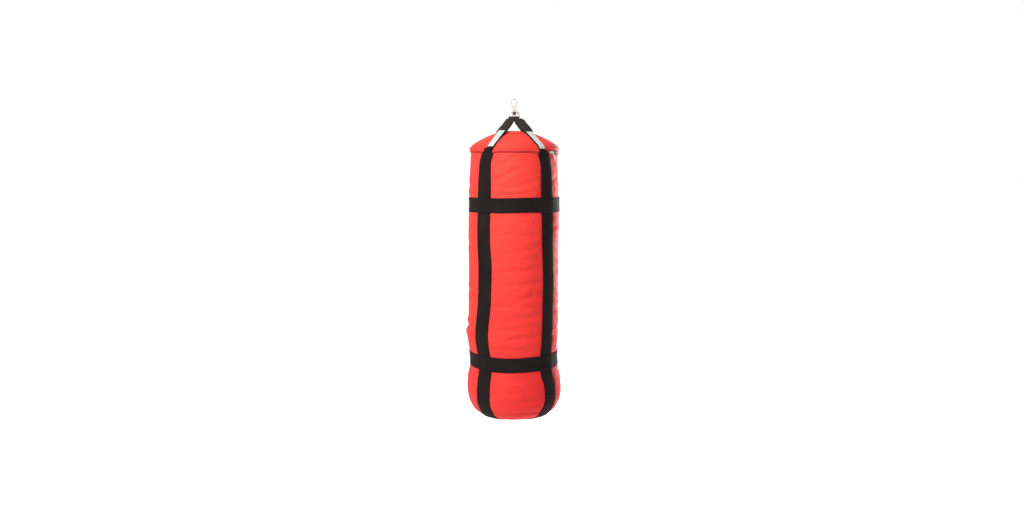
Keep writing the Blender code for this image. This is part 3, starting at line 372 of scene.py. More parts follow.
def simulate(grid, held):
    """Blows the cover up against its webbing and seams, with slack that folds it a little."""
    rows = grid.shape[0]
    inner = grid[1:-1]
    count = (rows - 2) * AROUND
    points = np.concatenate([inner.reshape(-1, 3), grid[:1, 0], grid[-1:, 0]])
    faces = grid_faces(rows - 2, AROUND).tolist()
    last = (rows - 3) * AROUND
    for j in range(AROUND):
        after = (j + 1) % AROUND
        faces.append([count, after, j])
        faces.append([count + 1, last + j, last + after])
    cover = new_object("cover_cloth", points, faces)
    group = cover.vertex_groups.new(name="held")
    weights = np.concatenate([held[1:-1].ravel(), [1.0, 1.0]])
    for level in (0.25, 0.5, 0.75, 1.0):
        chosen = np.nonzero((weights > level - 0.125) & (weights <= level + 0.125))[0].tolist()
        group.add(chosen, level, "REPLACE")
    cover.shape_key_add(name="Basis")
    slack = cover.shape_key_add(name="slack")
    slack.value = 0.0
    rest = points.copy()
    rest[:, :2] *= 1.010
    rest[:, 2] = (rest[:, 2] + 0.65) * 1.030 - 0.65
    slack.data.foreach_set("co", rest.astype(np.float32).ravel())
    cloth = cover.modifiers.new("cloth", "CLOTH")
    settings = cloth.settings
    settings.quality = 5
    settings.mass = 0.3
    settings.tension_stiffness = settings.compression_stiffness = 18.0
    settings.shear_stiffness = 6.0
    settings.bending_stiffness = 0.12
    settings.use_pressure = True
    settings.uniform_pressure_force = 9.0
    settings.vertex_group_mass = "held"
    settings.pin_stiffness = 1.0
    settings.rest_shape_key = slack
    settings.effector_weights.gravity = 0.0
    last_frame = 20
    cloth.point_cache.frame_start, cloth.point_cache.frame_end = 1, last_frame
    scene = bpy.context.scene
    for number in range(1, last_frame + 1):
        scene.frame_set(number)
    ready = cover.evaluated_get(bpy.context.evaluated_depsgraph_get()).to_mesh()
    moved = np.empty(len(ready.vertices) * 3, dtype=np.float32)
    ready.vertices.foreach_get("co", moved)
    moved = moved.reshape(-1, 3).astype(float)
    bpy.data.objects.remove(cover)
    scene.frame_set(1)
    result = grid.copy()
    result[1:-1] = moved[:count].reshape(rows - 2, AROUND, 3)
    normals = vertex_normals(grid)
    step = result - grid
    out = np.sum(step * normals, axis=-1, keepdims=True)
    sideways = step - out * normals
    length = np.linalg.norm(sideways, axis=-1, keepdims=True)
    slip, sunk, risen = 0.0025, -0.0010, 0.0040
    sideways *= np.minimum(1.0, slip / np.maximum(length, 1e-9))
    return grid + np.clip(out, sunk, risen) * normals + sideways


# Creases that the photograph shows: azimuth, depth, half length and half width in metres, tilt, dent
CREASES = [
    (-6.0, 0.085, 0.050, 0.0070, 0.42, 0.0011), (-22.0, 0.062, 0.035, 0.0060, 0.30, 0.0008),
    (14.0, 0.120, 0.045, 0.0060, 0.18, 0.0008), (4.0, 0.158, 0.060, 0.0070, 0.10, 0.0009),
    (25.0, 0.300, 0.035, 0.0060, -0.15, 0.0009), (18.0, 0.345, 0.045, 0.0080, 0.12, 0.0012),
    (-10.0, 0.385, 0.040, 0.0060, 0.05, 0.0007), (20.0, 0.415, 0.050, 0.0080, 0.10, 0.0012),
    (10.0, 0.470, 0.055, 0.0080, 0.08, 0.0012), (22.0, 0.512, 0.045, 0.0090, 0.15, 0.0015),
    (-6.0, 0.545, 0.060, 0.0070, -0.06, 0.0009), (14.0, 0.585, 0.050, 0.0080, 0.12, 0.0012),
    (-12.0, 0.628, 0.045, 0.0070, 0.10, 0.0009), (16.0, 0.655, 0.055, 0.0080, 0.06, 0.0014),
    (4.0, 0.700, 0.065, 0.0070, -0.05, 0.0012), (-18.0, 0.240, 0.040, 0.0060, 0.10, 0.0007),
    (8.0, 0.255, 0.050, 0.0060, -0.08, 0.0008), (10.0, 0.805, 0.060, 0.0080, -0.08, 0.0012),
    (-8.0, 0.850, 0.050, 0.0070, 0.10, 0.0009), (18.0, 0.880, 0.045, 0.0070, 0.20, 0.0012),
    (66.0, 0.100, 0.030, 0.0070, 0.20, 0.0012), (74.0, 0.260, 0.040, 0.0070, 0.15, 0.0012),
    (70.0, 0.420, 0.035, 0.0080, 0.10, 0.0013), (78.0, 0.560, 0.040, 0.0070, -0.10, 0.0012),
    (72.0, 0.650, 0.040, 0.0080, 0.05, 0.0015), (-66.0, 0.130, 0.035, 0.0070, -0.15, 0.0011),
    (-72.0, 0.330, 0.035, 0.0080, 0.10, 0.0010), (-68.0, 0.500, 0.040, 0.0070, 0.05, 0.0012),
    (-74.0, 0.640, 0.040, 0.0080, -0.08, 0.0015), (-62.0, 0.830, 0.035, 0.0070, 0.10, 0.0011),
]


def crease(grid):
    """Soft creases across the panels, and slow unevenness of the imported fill."""
    normals = vertex_normals(grid)
    azimuth = np.repeat(ANGLES[None, :], len(grid), axis=0)
    depth = RIM_Z - grid[..., 2]
    chance = np.random.default_rng(12)
    more = [
        (chance.uniform(95, 265), chance.uniform(0.05, 0.90), chance.uniform(0.03, 0.06), 0.0075,
         chance.uniform(-0.2, 0.25), chance.uniform(0.0006, 0.0013))
        for _ in range(46)
    ]
    move = np.zeros(azimuth.shape)
    deepen = 3.2
    for at, deep, length, width, tilt, dent in CREASES + more:
        along = np.radians(apart(azimuth, at)) * MEAN_RADIUS
        across = depth - deep + tilt * along
        reach = np.exp(-0.5 * (along / length) ** 2)
        move += deepen * reach * (
            -dent * np.exp(-0.5 * (across / width) ** 2)
            + 0.55 * dent * np.exp(-0.5 * ((across - 2.1 * width) / (1.3 * width)) ** 2)
            + 0.35 * dent * np.exp(-0.5 * ((across + 2.1 * width) / (1.3 * width)) ** 2)
        )
    for count, tall, size in ((3, 5.0, 0.0010), (5, 9.0, 0.0007), (8, 14.0, 0.0004)):
        phase = chance.uniform(0, 6.28, 3)
        turn = np.radians(azimuth)
        winding = np.sin(count * turn + phase[0] + 1.5 * np.sin(depth * tall + phase[1]))
        move += size * winding * np.sin(depth * tall * 1.7 + phase[2])
    radius = np.hypot(grid[..., 0], grid[..., 1])
    free = ease((depth - 0.024) / 0.02) * ease((radius - 0.10) / 0.03) * ease((0.915 - depth) / 0.02)
    free = free * (1.0 - band_near(depth))
    for table in STRAPS:
        off = np.abs(np.radians(apart(azimuth, table_at(table, depth))) * MEAN_RADIUS)
        free = free * (0.12 + 0.88 * ease((off - 0.024) / 0.014))
    return outside_foam(grid + normals * (move * free)[..., None])


def outside_foam(grid):
    """Keeps the cover at least a millimetre outside the foam liner and the base pad."""
    surfaces = []
    for node in ("foam_liner", "base_pad"):
        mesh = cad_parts[node].data
        surfaces.append(([v.co[:] for v in mesh.vertices], [p.vertices[:] for p in mesh.polygons]))
    tree = tree_of(*surfaces)
    normals = vertex_normals(grid)
    reach, clear = 0.012, 0.0011
    need = np.zeros(grid.shape[:2])
    for k in np.nonzero(HEIGHTS < -0.008)[0]:
        for j in range(AROUND):
            normal = Vector(normals[k, j])
            hit = tree.ray_cast(Vector(grid[k, j]) + normal * reach, -normal, reach + clear)
            if hit[0] is not None:
                need[k, j] = reach + clear - hit[3]
    wide = blur(blur(need, 1.0, 1, True), 0.8, 0)
    return grid + normals * np.maximum(need, wide)[..., None]


def band_near(depth):
    near = 0.0
    for middle in (UPPER_BAND, LOWER_BAND):
        near = np.maximum(near, 0.9 * (1.0 - ease((np.abs(depth - middle) - 0.025) / 0.010)))
    return near


# Webbing, as grids of points with this many columns across it
COLUMNS = 13
MIDDLE = COLUMNS // 2
ACROSS = np.linspace(-0.5, 0.5, COLUMNS)


def ribbon(name, middle, normals, thickness, across_at, along_at, look, lift=0.0, under=None, closed=False,
           crown=0.0):
    """A strap with rounded edges round a grid of points (stations, columns, 3).

    Its lower face stands lift above the grid, or under above it where that is given per station.
    """
    stations, columns = middle.shape[:2]
    low = np.full(stations, lift) if under is None else np.asarray(under)
    high = np.full(stations, lift + thickness)
    share = np.linspace(-1.0, 1.0, columns)
    dome = crown * (1.0 - share**2)
    top = middle + normals * (high[:, None] + dome[None, :])[..., None]
    bottom = middle + normals * low[:, None, None]
    half = (high - low)[:, None] / 2.0
    bulge = np.minimum(half, 0.0012)

    def edge(index, inner, order):
        """Three points for each station round the strap's edge."""
        way = unit(middle[:, index] - middle[:, inner])
        centre = (top[:, index] + bottom[:, index]) / 2.0
        return np.stack([
            centre - normals[:, index] * half * math.sin(a * math.pi * 0.62)
            + way * bulge * math.cos(a * math.pi) for a in order
        ], 1)

    loop = np.concatenate(
        [top, edge(-1, -2, (-0.5, 0.0, 0.5)), bottom[:, ::-1], edge(0, 1, (0.5, 0.0, -0.5))], axis=1)
    ends = [[across_at[i] + math.copysign(0.0006, across_at[i])] * 3 for i in (-1, 0)]
    u = np.concatenate([across_at, ends[0], across_at[::-1], ends[1]])
    size = loop.shape[1]
    rows = stations + 1 if closed else stations
    faces = []
    for k in range(rows - 1):
        faces += between(k * size, (k + 1) % stations * size, size)[:, [1, 0, 3, 2]].tolist()
    if not closed:
        for k, flip in ((0, True), (stations - 1, False)):
            ring = list(range(k * size, (k + 1) * size))
            tops = ring[:columns]
            rights = ring[columns:columns + 3]
            bottoms = ring[columns + 3:2 * columns + 3][::-1]
            lefts = ring[2 * columns + 3:]
            caps = [[tops[c], tops[c + 1], bottoms[c + 1], bottoms[c]] for c in range(columns - 1)]
            caps.append([tops[-1], *rights, bottoms[-1]])
            caps.append([bottoms[0], *lefts, tops[0]])
            faces += [c[::-1] if flip else c for c in caps]
    uv = np.stack(np.broadcast_arrays(u[None, :], along_at[:, None]), -1).reshape(-1, 2)
    return new_object(name, loop, faces, uv, look)


def drape(tree, base, outward, soft_along, soft_across=0.9, reach=0.03, wrap=False, fixed=None):
    """Lays a grid of points on a surface along given directions; stiff webbing bridges hollows."""
    stations, columns = base.shape[:2]
    found = np.zeros((stations, columns))
    for k in range(stations):
        for i in range(columns):
            start = Vector(base[k, i] + outward[k, i] * reach)
            hit = tree.ray_cast(start, Vector(-outward[k, i]), 2.0 * reach)
            found[k, i] = reach - hit[3] if hit[0] is not None else 0.0
    if fixed is not None:
        found = np.where(fixed[:, None], 0.0, found)
    smooth = blur(blur(found, soft_along, 0, wrap), soft_across, 1)
    above = np.maximum(smooth, found)
    above = blur(above, soft_along * 0.5, 0, wrap)
    above = np.maximum(above, found)
    if fixed is not None:
        above = np.where(fixed[:, None], 0.0, above)
    return base + outward * above[..., None]


def lengths_of(points):
    """How far along a line each of its points lies."""
    return np.concatenate([[0.0], np.cumsum(np.linalg.norm(np.diff(points, axis=0), axis=1))])


ROUTE = resample(
    spline([
        (0.1572, 0.0072), (0.1588, 0.0025), (0.1594, -0.0030), (0.1592, -0.0090), (0.1584, -0.0150),
        (0.1576, -0.0230), (0.1572, -0.0380),
    ] + SIDE_LINE[1:] + BASE_LINE), 0.0042,
)


def strap_base(front, back, top):
    """Grid and outward directions of a body strap: down the front, under the base and up the back."""
    halves = []
    for table, forward, highest in ((front, True, top), (back, False, 0.0045)):
        route = ROUTE[ROUTE[:, 1] < highest]
        ahead = unit(np.gradient(route, axis=0))
        if not forward:
            route, ahead = route[::-1][1:], ahead[::-1][1:]
        radius, height = route.T
        azimuth = table_at(table, -height + 0.15 * (radius < 0.12) * (height < -0.9))
        across = tangent(azimuth) * (1.0 if forward else -1.0)
        outward = unit(polar(azimuth, 1.0, -RIM_Z) * -ahead[:, 1:2] + UP * ahead[:, 0:1])
        halves.append((polar(azimuth, radius, height), across, outward, radius, 2.0 * strap_span(height)))
    centre, across, outward, radius, width = (np.concatenate(parts) for parts in zip(*halves))
    spread = width[:, None] * ACROSS[None, :]
    level = np.hypot(outward[:, 0], outward[:, 1])
    reach = np.maximum(radius, 0.03)
    sag = level[:, None] * (reach[:, None] - np.sqrt(np.maximum(reach[:, None] ** 2 - spread**2, 0.0)))
    base = centre[:, None] + across[:, None] * spread[..., None] - outward[:, None] * sag[..., None]
    lean = level[:, None] * spread / reach[:, None]
    upright = np.sqrt(np.maximum(1.0 - lean**2, 0.0))
    return base, unit(outward[:, None] * upright[..., None] + across[:, None] * lean[..., None])


def positive_tangent(azimuth):
    across = tangent(np.asarray(azimuth, dtype=float))
    return across if across[0] > 0.0 else -across


CORNER = (0.1572, 0.0082)


def leg_line(side, table, forward):
    """Stations of a free leg from the rim's corner to the ring's bar: centre, across, width, share."""
    crossing = np.array([side * (LEG_AT_RING / 2.0 + 1.5 * GAP), 0.0, BAR_Z])
    azimuth = LANDING[side] if forward < 0.0 else float(table_at(table, 0.0))
    landing = polar(azimuth, *CORNER)
    across_rim = positive_tangent(azimuth)
    slope = math.atan2(abs(landing[1]), crossing[2] - landing[2])
    reach = RING_WIRE + GAP + WEB_THICK / 2.0
    angle = forward * (math.pi / 2.0 - slope)
    leave = crossing + np.array([0.0, reach * math.sin(angle), reach * math.cos(angle)])
    down = np.array([0.0, forward * math.sin(slope), -math.cos(slope)])
    clear = leave + down * LEG_STRAIGHT
    parting = abs(landing[0]) - abs(crossing[0])
    stations = []
    for share in np.concatenate([np.linspace(0.0, 0.10, 9)[:-1], np.linspace(0.10, 1.0, 42)]):
        turned = unit((1.0 - ease(share)) * RIGHT + ease(share) * across_rim)
        beside = LEG_AT_RING + 2.0 * parting * share
        width = min(LEG_WIDTH, beside + LEG_FLARE * float(ease(share / 0.03)))
        aside = side * max(0.0, width - beside) / 2.0
        centre = clear + (landing - clear) * share + turned * aside
        stations.append((centre, turned, width, share))
    stations.insert(0, (leave, RIGHT, LEG_AT_RING, 0.0))
    return stations, crossing, angle


def leg_pair(side, front, back, skin_tree):
    """The whole webbing of one side: front tail, front leg, over the bar, back leg, back tail."""
    front_leg, crossing, first = leg_line(side, front, -1.0)
    back_leg, crossing, last = leg_line(side, back, 1.0)
    reach = RING_WIRE + GAP + WEB_THICK / 2.0
    over = []
    for angle in np.linspace(first, last, 14)[1:-1]:
        at = crossing + np.array([0.0, reach * math.sin(angle), reach * math.cos(angle)])
        over.append((at, RIGHT, LEG_AT_RING, 0.0))

    def tail(table, landing):
        line = ROUTE[(ROUTE[:, 1] < CORNER[1] - 0.004) & (ROUTE[:, 1] > -TAIL_DEPTH)]
        below = CORNER[1] - line[:, 1]
        azimuth = table_at(table, -line[:, 1]) + (landing - table_at(table, 0.0)) * (1.0 - ease(below / 0.03))
        return [(polar(a, r + 0.001, h), positive_tangent(a), LEG_WIDTH, 1.0 + d)
                for a, (r, h), d in zip(azimuth, line, below)]

    tail_front, tail_back = tail(front, LANDING[side]), tail(back, table_at(back, 0.0))
    stations = tail_front[::-1] + front_leg[::-1] + over + back_leg + tail_back
    on_skin = np.array([True] * len(tail_front) + [False] * (len(front_leg) + len(over) + len(back_leg))
                       + [True] * len(tail_back))
    centre, across, width, share = (np.array(values) for values in zip(*stations))
    soft = blur(centre, 1.0, 0)
    keep = (~on_skin) & (share < 0.9)
    centre = np.where(keep[:, None], centre, soft)
    along = unit(np.gradient(centre, axis=0))
    outward = unit(np.cross(across, along))
    if outward[len(stations) // 2] @ UP < 0:
        outward = -outward
    spread = width[:, None] * ACROSS[None, :]
    level = np.hypot(outward[:, 0], outward[:, 1])
    sag = np.where(on_skin, level, 0.0)[:, None] * (0.157 - np.sqrt(0.157**2 - spread**2))
    grid = centre[:, None] + across[:, None] * spread[..., None] - outward[:, None] * sag[..., None]
    outs = np.repeat(outward[:, None], COLUMNS, axis=1)
    draped = drape(skin_tree, grid, outs, reach=0.02, soft_along=1.2, fixed=~on_skin)
    lift = np.where(on_skin, GAP + WEB_THICK / 2.0, 0.0)
    draped = draped + outs * lift[:, None, None]
    draped = np.where((share >= 0.93)[:, None, None], blur(draped, 1.0, 0), draped)
    return draped, facing(draped, np.gradient(draped, axis=0), outs), share


def press_legs(grid, legs):
    """Pushes the lid down where a leg lies on it."""
    normals = vertex_normals(grid)
    tree = tree_of(*[(points, strip_faces(points)) for points in legs])
    reach = 0.006
    need = np.zeros(grid.shape[:2])
    for k in np.nonzero((HEIGHTS > 0.0) & (LINE[:, 0] > 0.05))[0]:
        for j in range(AROUND):
            at, normal = Vector(grid[k, j]), Vector(normals[k, j])
            hit = tree.ray_cast(at + normal * reach, -normal, 0.022)
            if hit[0] is not None:
                need[k, j] = max(0.0, hit[3] - reach + WEB_THICK / 2.0 + 0.0006)
    need = np.minimum(need, 0.0085)
    need = np.maximum(need, blur(blur(need, 1.4, 1, True), 0.8, 0))
    return grid - normals * need[..., None], need > 0.0002


# Materials
class Graph:
    """The shader nodes of a material or of the world."""

    def __init__(self, tree):
        self.nodes, self.links = tree.nodes, tree.links

    def add(self, kind, values, sources):
        """A new node with values on some inputs and links into others."""
        made = self.nodes.new(kind)
        for socket, value in values.items():
            made.inputs[socket].default_value = value
        for socket, source in sources.items():
            self.links.new(source, made.inputs[socket])
        return made

    def combine(self, first, second, operation):
        made = self.add("ShaderNodeMath", {}, {0: first, 1: second})
        made.operation = operation
        return made.outputs[0]

    def mix_seen(self, lighting, seen, target):
        """One shader for the light it gives and one for where it is seen or mirrored."""
        rays = self.nodes.new("ShaderNodeLightPath").outputs
        share = self.combine(rays["Is Camera Ray"], rays["Is Glossy Ray"], "MAXIMUM")
        share = self.combine(share, rays["Is Transmission Ray"], "MAXIMUM")
        mix = self.add("ShaderNodeMixShader", {}, {0: share, 1: lighting, 2: seen})
        self.links.new(mix.outputs[0], target)


class Look(Graph):
    """A material with one Principled shader, whose colour and bumps come from procedural nodes."""

    def __init__(self, name, colour, roughness, metallic=0.0, specular=0.5):
        self.material = bpy.data.materials.new(name)
        self.material.use_nodes = True
        super().__init__(self.material.node_tree)
        self.shader = self.nodes["Principled BSDF"]
        self.shader.inputs["Base Color"].default_value = (*colour, 1.0)
        self.shader.inputs["Roughness"].default_value = roughness
        self.shader.inputs["Metallic"].default_value = metallic
        self.shader.inputs["Specular IOR Level"].default_value = specular
        self.material.diffuse_color = (*colour, 1.0)
        self.bumped = None

    def at(self, space):
        """Places to read a pattern at: Object in metres, or UV along the cloth in metres."""
        return self.nodes.new("ShaderNodeTexCoord").outputs[space]

    def noise(self, source, scale, detail, rough):
        values = {"Scale": scale, "Detail": detail, "Roughness": rough}
        return self.add("ShaderNodeTexNoise", values, {"Vector": source}).outputs["Fac"]

    def waves(self, source, period, direction, distortion=0.0):
        """Ridges a period apart, in metres."""
        values = {"Scale": 0.31416 / period, "Distortion": distortion, "Detail": 1.0}
        made = self.add("ShaderNodeTexWave", values, {"Vector": source})
        made.wave_type, made.bands_direction, made.wave_profile = "BANDS", direction, "SIN"
        return made.outputs["Fac"]

    def plain_weave(self, pitch):
        cloth = self.at("UV")
        return self.combine(self.waves(cloth, pitch, "X"), self.waves(cloth, pitch, "Y"), "MULTIPLY")

    def ranged(self, source, values):
        return self.add("ShaderNodeMapRange", values, {"Value": source}).outputs["Result"]

    def tint(self, source, dark, light, low=0.35, high=0.65):
        """Base colour from dark to light over a range of the source."""
        ramp = self.add("ShaderNodeValToRGB", {}, {"Fac": source})
        first, last = ramp.color_ramp.elements
        first.position, last.position = low, high
        first.color, last.color = (*dark, 1.0), (*light, 1.0)
        self.links.new(ramp.outputs["Color"], self.shader.inputs["Base Color"])

    def bump(self, height, strength, distance):
        """Adds a relief to those made before."""
        made = self.add("ShaderNodeBump", {"Strength": strength, "Distance": distance}, {"Height": height})
        if self.bumped is not None:
            self.links.new(self.bumped, made.inputs["Normal"])
        self.bumped = made.outputs["Normal"]
        self.links.new(self.bumped, self.shader.inputs["Normal"])


def shade(colour, by):
    return tuple(c * by for c in colour)


def red_fabric(name, pitch=0.0011):
    look = Look(name, (0.64, 0.030, 0.028), 0.60, specular=0.14)
    place = look.at("Object")
    slow = look.noise(place, 7.0, 4.0, 0.55)
    # painted light: the base colour turns paler and more orange towards the top and the left, where the key
    # light falls, and deeper crimson below and to the right; the slow noise adds random tone
    axes = look.add("ShaderNodeSeparateXYZ", {}, {"Vector": place}).outputs
    high = look.ranged(axes["Z"], {"From Min": -1.05, "From Max": -0.15})
    left = look.ranged(axes["X"], {"From Min": 0.13, "From Max": -0.10})
    painted_light = look.combine(look.combine(high, left, "ADD"), slow, "ADD")
    look.tint(look.ranged(painted_light, {"From Max": 2.6}), (0.655, 0.017, 0.021), (0.745, 0.047, 0.033), 0.12, 0.82)
    look.bump(look.plain_weave(pitch), 0.35, 0.00012)
    look.bump(look.noise(place, 90.0, 3.0, 0.6), 0.16, 0.0012)
    drawn = {"Scale": (1.0, 1.0, 2.3), "Rotation": (0.0, math.radians(9.0), 0.0)}
    drawn = look.add("ShaderNodeMapping", drawn, {"Vector": place}).outputs["Vector"]
    look.bump(look.noise(drawn, 30.0, 3.0, 0.5), 0.9, 0.0075)
    return look.material


def black_webbing(name, rib=0.0016, colour=(0.0100, 0.0062, 0.0060), rough=0.72, coarse=1.0, lumps=False):
    look = Look(name, colour, rough, specular=0.07)
    place, cloth = look.at("Object"), look.at("UV")
    look.tint(look.noise(place, 12.0, 4.0, 0.6), shade(colour, 0.72), shade(colour, 1.45), 0.3, 0.72)
    ribs = look.waves(cloth, rib, "Y", 0.4)
    ends = look.waves(cloth, rib * 1.25, "X", 0.3)
    twill = look.waves(cloth, rib * 2.2, "DIAGONAL", 0.2)
    weave = look.combine(look.combine(ribs, ends, "MULTIPLY"), twill, "ADD")
    look.bump(weave, 0.55, 0.00035 * coarse)
    look.bump(look.noise(place, 420.0, 2.0, 0.7), 0.25, 0.0006 * coarse)
    if lumps:
        look.bump(look.noise(place, 130.0, 3.0, 0.6), 0.6, 0.0022)
    return look.material


def white_patch(name):
    look = Look(name, (0.44, 0.48, 0.45), 0.48)
    slow = look.noise(look.at("Object"), 60.0, 3.0, 0.5)
    look.tint(slow, (0.40, 0.44, 0.41), (0.48, 0.525, 0.495), 0.3, 0.7)
    look.bump(look.plain_weave(0.0007), 0.4, 0.0001)
    look.bump(slow, 0.2, 0.0015)
    return look.material


def thread(name, colour):
    look = Look(name, colour, 0.7, specular=0.15)
    twist = look.waves(look.at("Object"), 0.0007, "DIAGONAL", 1.0)
    look.tint(twist, shade(colour, 0.75), colour, 0.2, 0.8)
    look.bump(twist, 0.5, 0.0002)
    return look.material


def metal(name, colour, rough):
    look = Look(name, colour, rough, metallic=1.0)
    place = look.at("Object")
    slow = look.noise(place, 160.0, 4.0, 0.6)
    look.tint(slow, shade(colour, 0.86), colour, 0.25, 0.6)
    worn = look.ranged(slow, {"To Min": rough * 0.75, "To Max": rough * 1.45})
    look.links.new(worn, look.shader.inputs["Roughness"])
    look.bump(look.noise(place, 900.0, 2.0, 0.6), 0.12, 0.0003)
    return look.material


def grainy(name, colour, rough, scale, height):
    look = Look(name, colour, rough)
    place = look.at("Object")
    look.tint(look.noise(place, scale / 6.0, 4.0, 0.6), shade(colour, 0.7), shade(colour, 1.25))
    cells = look.add("ShaderNodeTexVoronoi", {"Scale": scale}, {"Vector": place})
    look.bump(cells.outputs["Distance"], 0.6, height)
    return look.material


RED = red_fabric("red_nylon")
DARK_STEEL = metal("dark_steel", (0.085, 0.07, 0.066), 0.42)
RED_WELT = red_fabric("red_piping", 0.0008)
BLACK = black_webbing("black_webbing_look")
SLEEVE = black_webbing("sleeve_webbing", 0.0024, (0.027, 0.0225, 0.0195), 0.8, 1.8, lumps=True)
PATCH = white_patch("blank_patch")
STEEL = metal("bright_steel", (0.74, 0.705, 0.675), 0.26)
ZIP_METAL = metal("pale_zip_metal", (0.62, 0.66, 0.56), 0.38)
COIL = black_webbing("zip_coil_nylon", 0.0008, (0.26, 0.020, 0.018), 0.45, 0.4)
TAPE = black_webbing("zip_tape_fabric", 0.0009, (0.42, 0.030, 0.026), 0.65, 0.5)
RED_THREAD = thread("red_thread", (0.62, 0.035, 0.030))
BLACK_THREAD = thread("black_thread", (0.014, 0.011, 0.011))
# painted shade: the rim seam's real stitches get a darker red thread than the others, to stand for the shade
# under the lid's lip
SHADED_SEAM_THREAD = thread("rim_seam_thread_painted_shade", (0.36, 0.010, 0.011))
# painted shadow: a dark red material for the strip that stands for the shade in the groove under the lid's
# lip
PAINTED_SHADOW_LOOK = grainy("rim_painted_shadow_look", (0.38, 0.009, 0.010), 0.9, 800.0, 0.0003)
WHITE_THREAD = thread("pale_thread", (0.66, 0.65, 0.64))
FOAM = grainy("foam_cells", (0.34, 0.34, 0.35), 0.92, 420.0, 0.0006)
RAG = grainy("rag_fill_look", (0.30, 0.28, 0.26), 0.95, 110.0, 0.004)


# Small things
def stitches(name, points, normals, ways, look, length, thick):
    """A row of sewn stitches: one short bead of thread at each point, along its way."""
    sides = 6
    turn = np.arange(sides) * 2.0 * math.pi / sides
    ends = [(-0.5, 0.35, -0.25), (-0.34, 0.9, 0.15), (0.0, 1.0, 0.35), (0.34, 0.9, 0.15), (0.5, 0.35, -0.25)]
    across = unit(np.cross(normals, ways))
    cloud, faces = [], []
    ring = np.arange(sides)
    for k, (at, normal, way, aside) in enumerate(zip(points, normals, ways, across)):
        start = k * sides * len(ends)
        for e, (along, size, rise) in enumerate(ends):
            centre = at + way * along * length + normal * rise * thick
            circle = (np.cos(turn)[:, None] * aside + np.sin(turn)[:, None] * normal) * thick * size
            cloud.append(centre + circle)
            if e:
                faces += between(start + (e - 1) * sides, start + e * sides, sides).tolist()
        faces.append((start + ring[::-1]).tolist())
        faces.append((start + (len(ends) - 1) * sides + ring).tolist())
    return new_object(name, np.concatenate(cloud), faces, None, look)


def along_line(points, normals, pitch):
    """Evenly spaced places on a line: points, normals and ways."""
    reach = lengths_of(points)
    count = max(2, int(reach[-1] / pitch))
    wanted = (np.arange(count) + 0.5) * reach[-1] / count
    at = np.stack([np.interp(wanted, reach, points[:, k]) for k in range(3)], -1)
    normal = unit(np.stack([np.interp(wanted, reach, normals[:, k]) for k in range(3)], -1))
    ways = unit(np.gradient(points, axis=0))
    way = unit(np.stack([np.interp(wanted, reach, ways[:, k]) for k in range(3)], -1))
    return at, normal, way


def tube(name, points, side, up, radius, sides, uvs, look):
    """A closed round tube along a closed line, with each ring of its points in the plane of side and up."""
    turn = np.arange(sides) * 2.0 * math.pi / sides
    rings = points[:, None] + radius * (
        np.cos(turn)[None, :, None] * side[:, None] + np.sin(turn)[None, :, None] * up[:, None])
    count = len(points)
    faces = np.concatenate([between(k * sides, (k + 1) % count * sides, sides) for k in range(count)])
    return new_object(name, rings, faces, uvs, look)


def closed_ways(points):
    """Directions along a closed line of points."""
    return unit(np.roll(points, -1, axis=0) - np.roll(points, 1, axis=0))


def arc(centre, radius, first, last, count):
    steps = np.radians(np.linspace(first, last, count + 1))
    return [(centre[0] + radius * math.cos(a), centre[1] + radius * math.sin(a)) for a in steps]


def on_bag(piece, slot, *nodes):
    """Fastens a piece to the bag and hides the CAD nodes that it stands for; slot is not used."""
    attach(piece, "bag")
    if nodes:
        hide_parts(*nodes)


def webbing(name, node, laid, normals, across, along, closed=False):
    """Webbing over the cover, in place of its node. Returns the points of its upper face."""
    made = ribbon(name, laid, normals, WEB_THICK, across, along, BLACK, lift=GAP, closed=closed)
    on_bag(made, "black_webbing", node)
    return laid + normals * (GAP + WEB_THICK)


def sew(name, line, normals, look, slot, pitch, length, thick):
    """A row of stitches along a line on the bag."""
    on_bag(stitches(name, *along_line(line, normals, pitch), look, length, thick), slot)


# The cover, with the lid pressed down under the legs, which are taken a little too wide for that
first_grid, held = shape_skin()
free_legs = []
for side, front, back in ((-1.0, LEFT_FRONT, RIGHT_BACK), (1.0, RIGHT_FRONT, LEFT_BACK)):
    for table, forward in ((front, -1.0), (back, 1.0)):
        stations = leg_line(side, table, forward)[0]
        free_legs.append(np.array([
            [s[0] + s[1] * s[2] * (t * 1.04) for t in np.linspace(-0.5, 0.5, 9)] for s in stations[8:]
        ]))
first_grid, under_leg = press_legs(first_grid, free_legs)
held = np.maximum(held, under_leg * 1.0)
skin = simulate(first_grid, held)
skin = crease(skin)
smoothed = 0.4
skin = skin * (1.0 - smoothed) + smoothed * (np.roll(skin, 1, 1) + np.roll(skin, -1, 1)) / 2.0
SKIN_N = vertex_normals(skin)


def nearest_row(height):
    """The row of the skin's side or rim that is nearest to a height."""
    return int(np.argmin(np.abs(HEIGHTS - height) + (LINE[:, 0] < 0.1)))


# How a panel's sewn edge turns in, from its seam: inwards and along the bag
TUCK = ((0.0006, 0.0002), (0.0022, 0.0009), (0.0065, 0.0016))


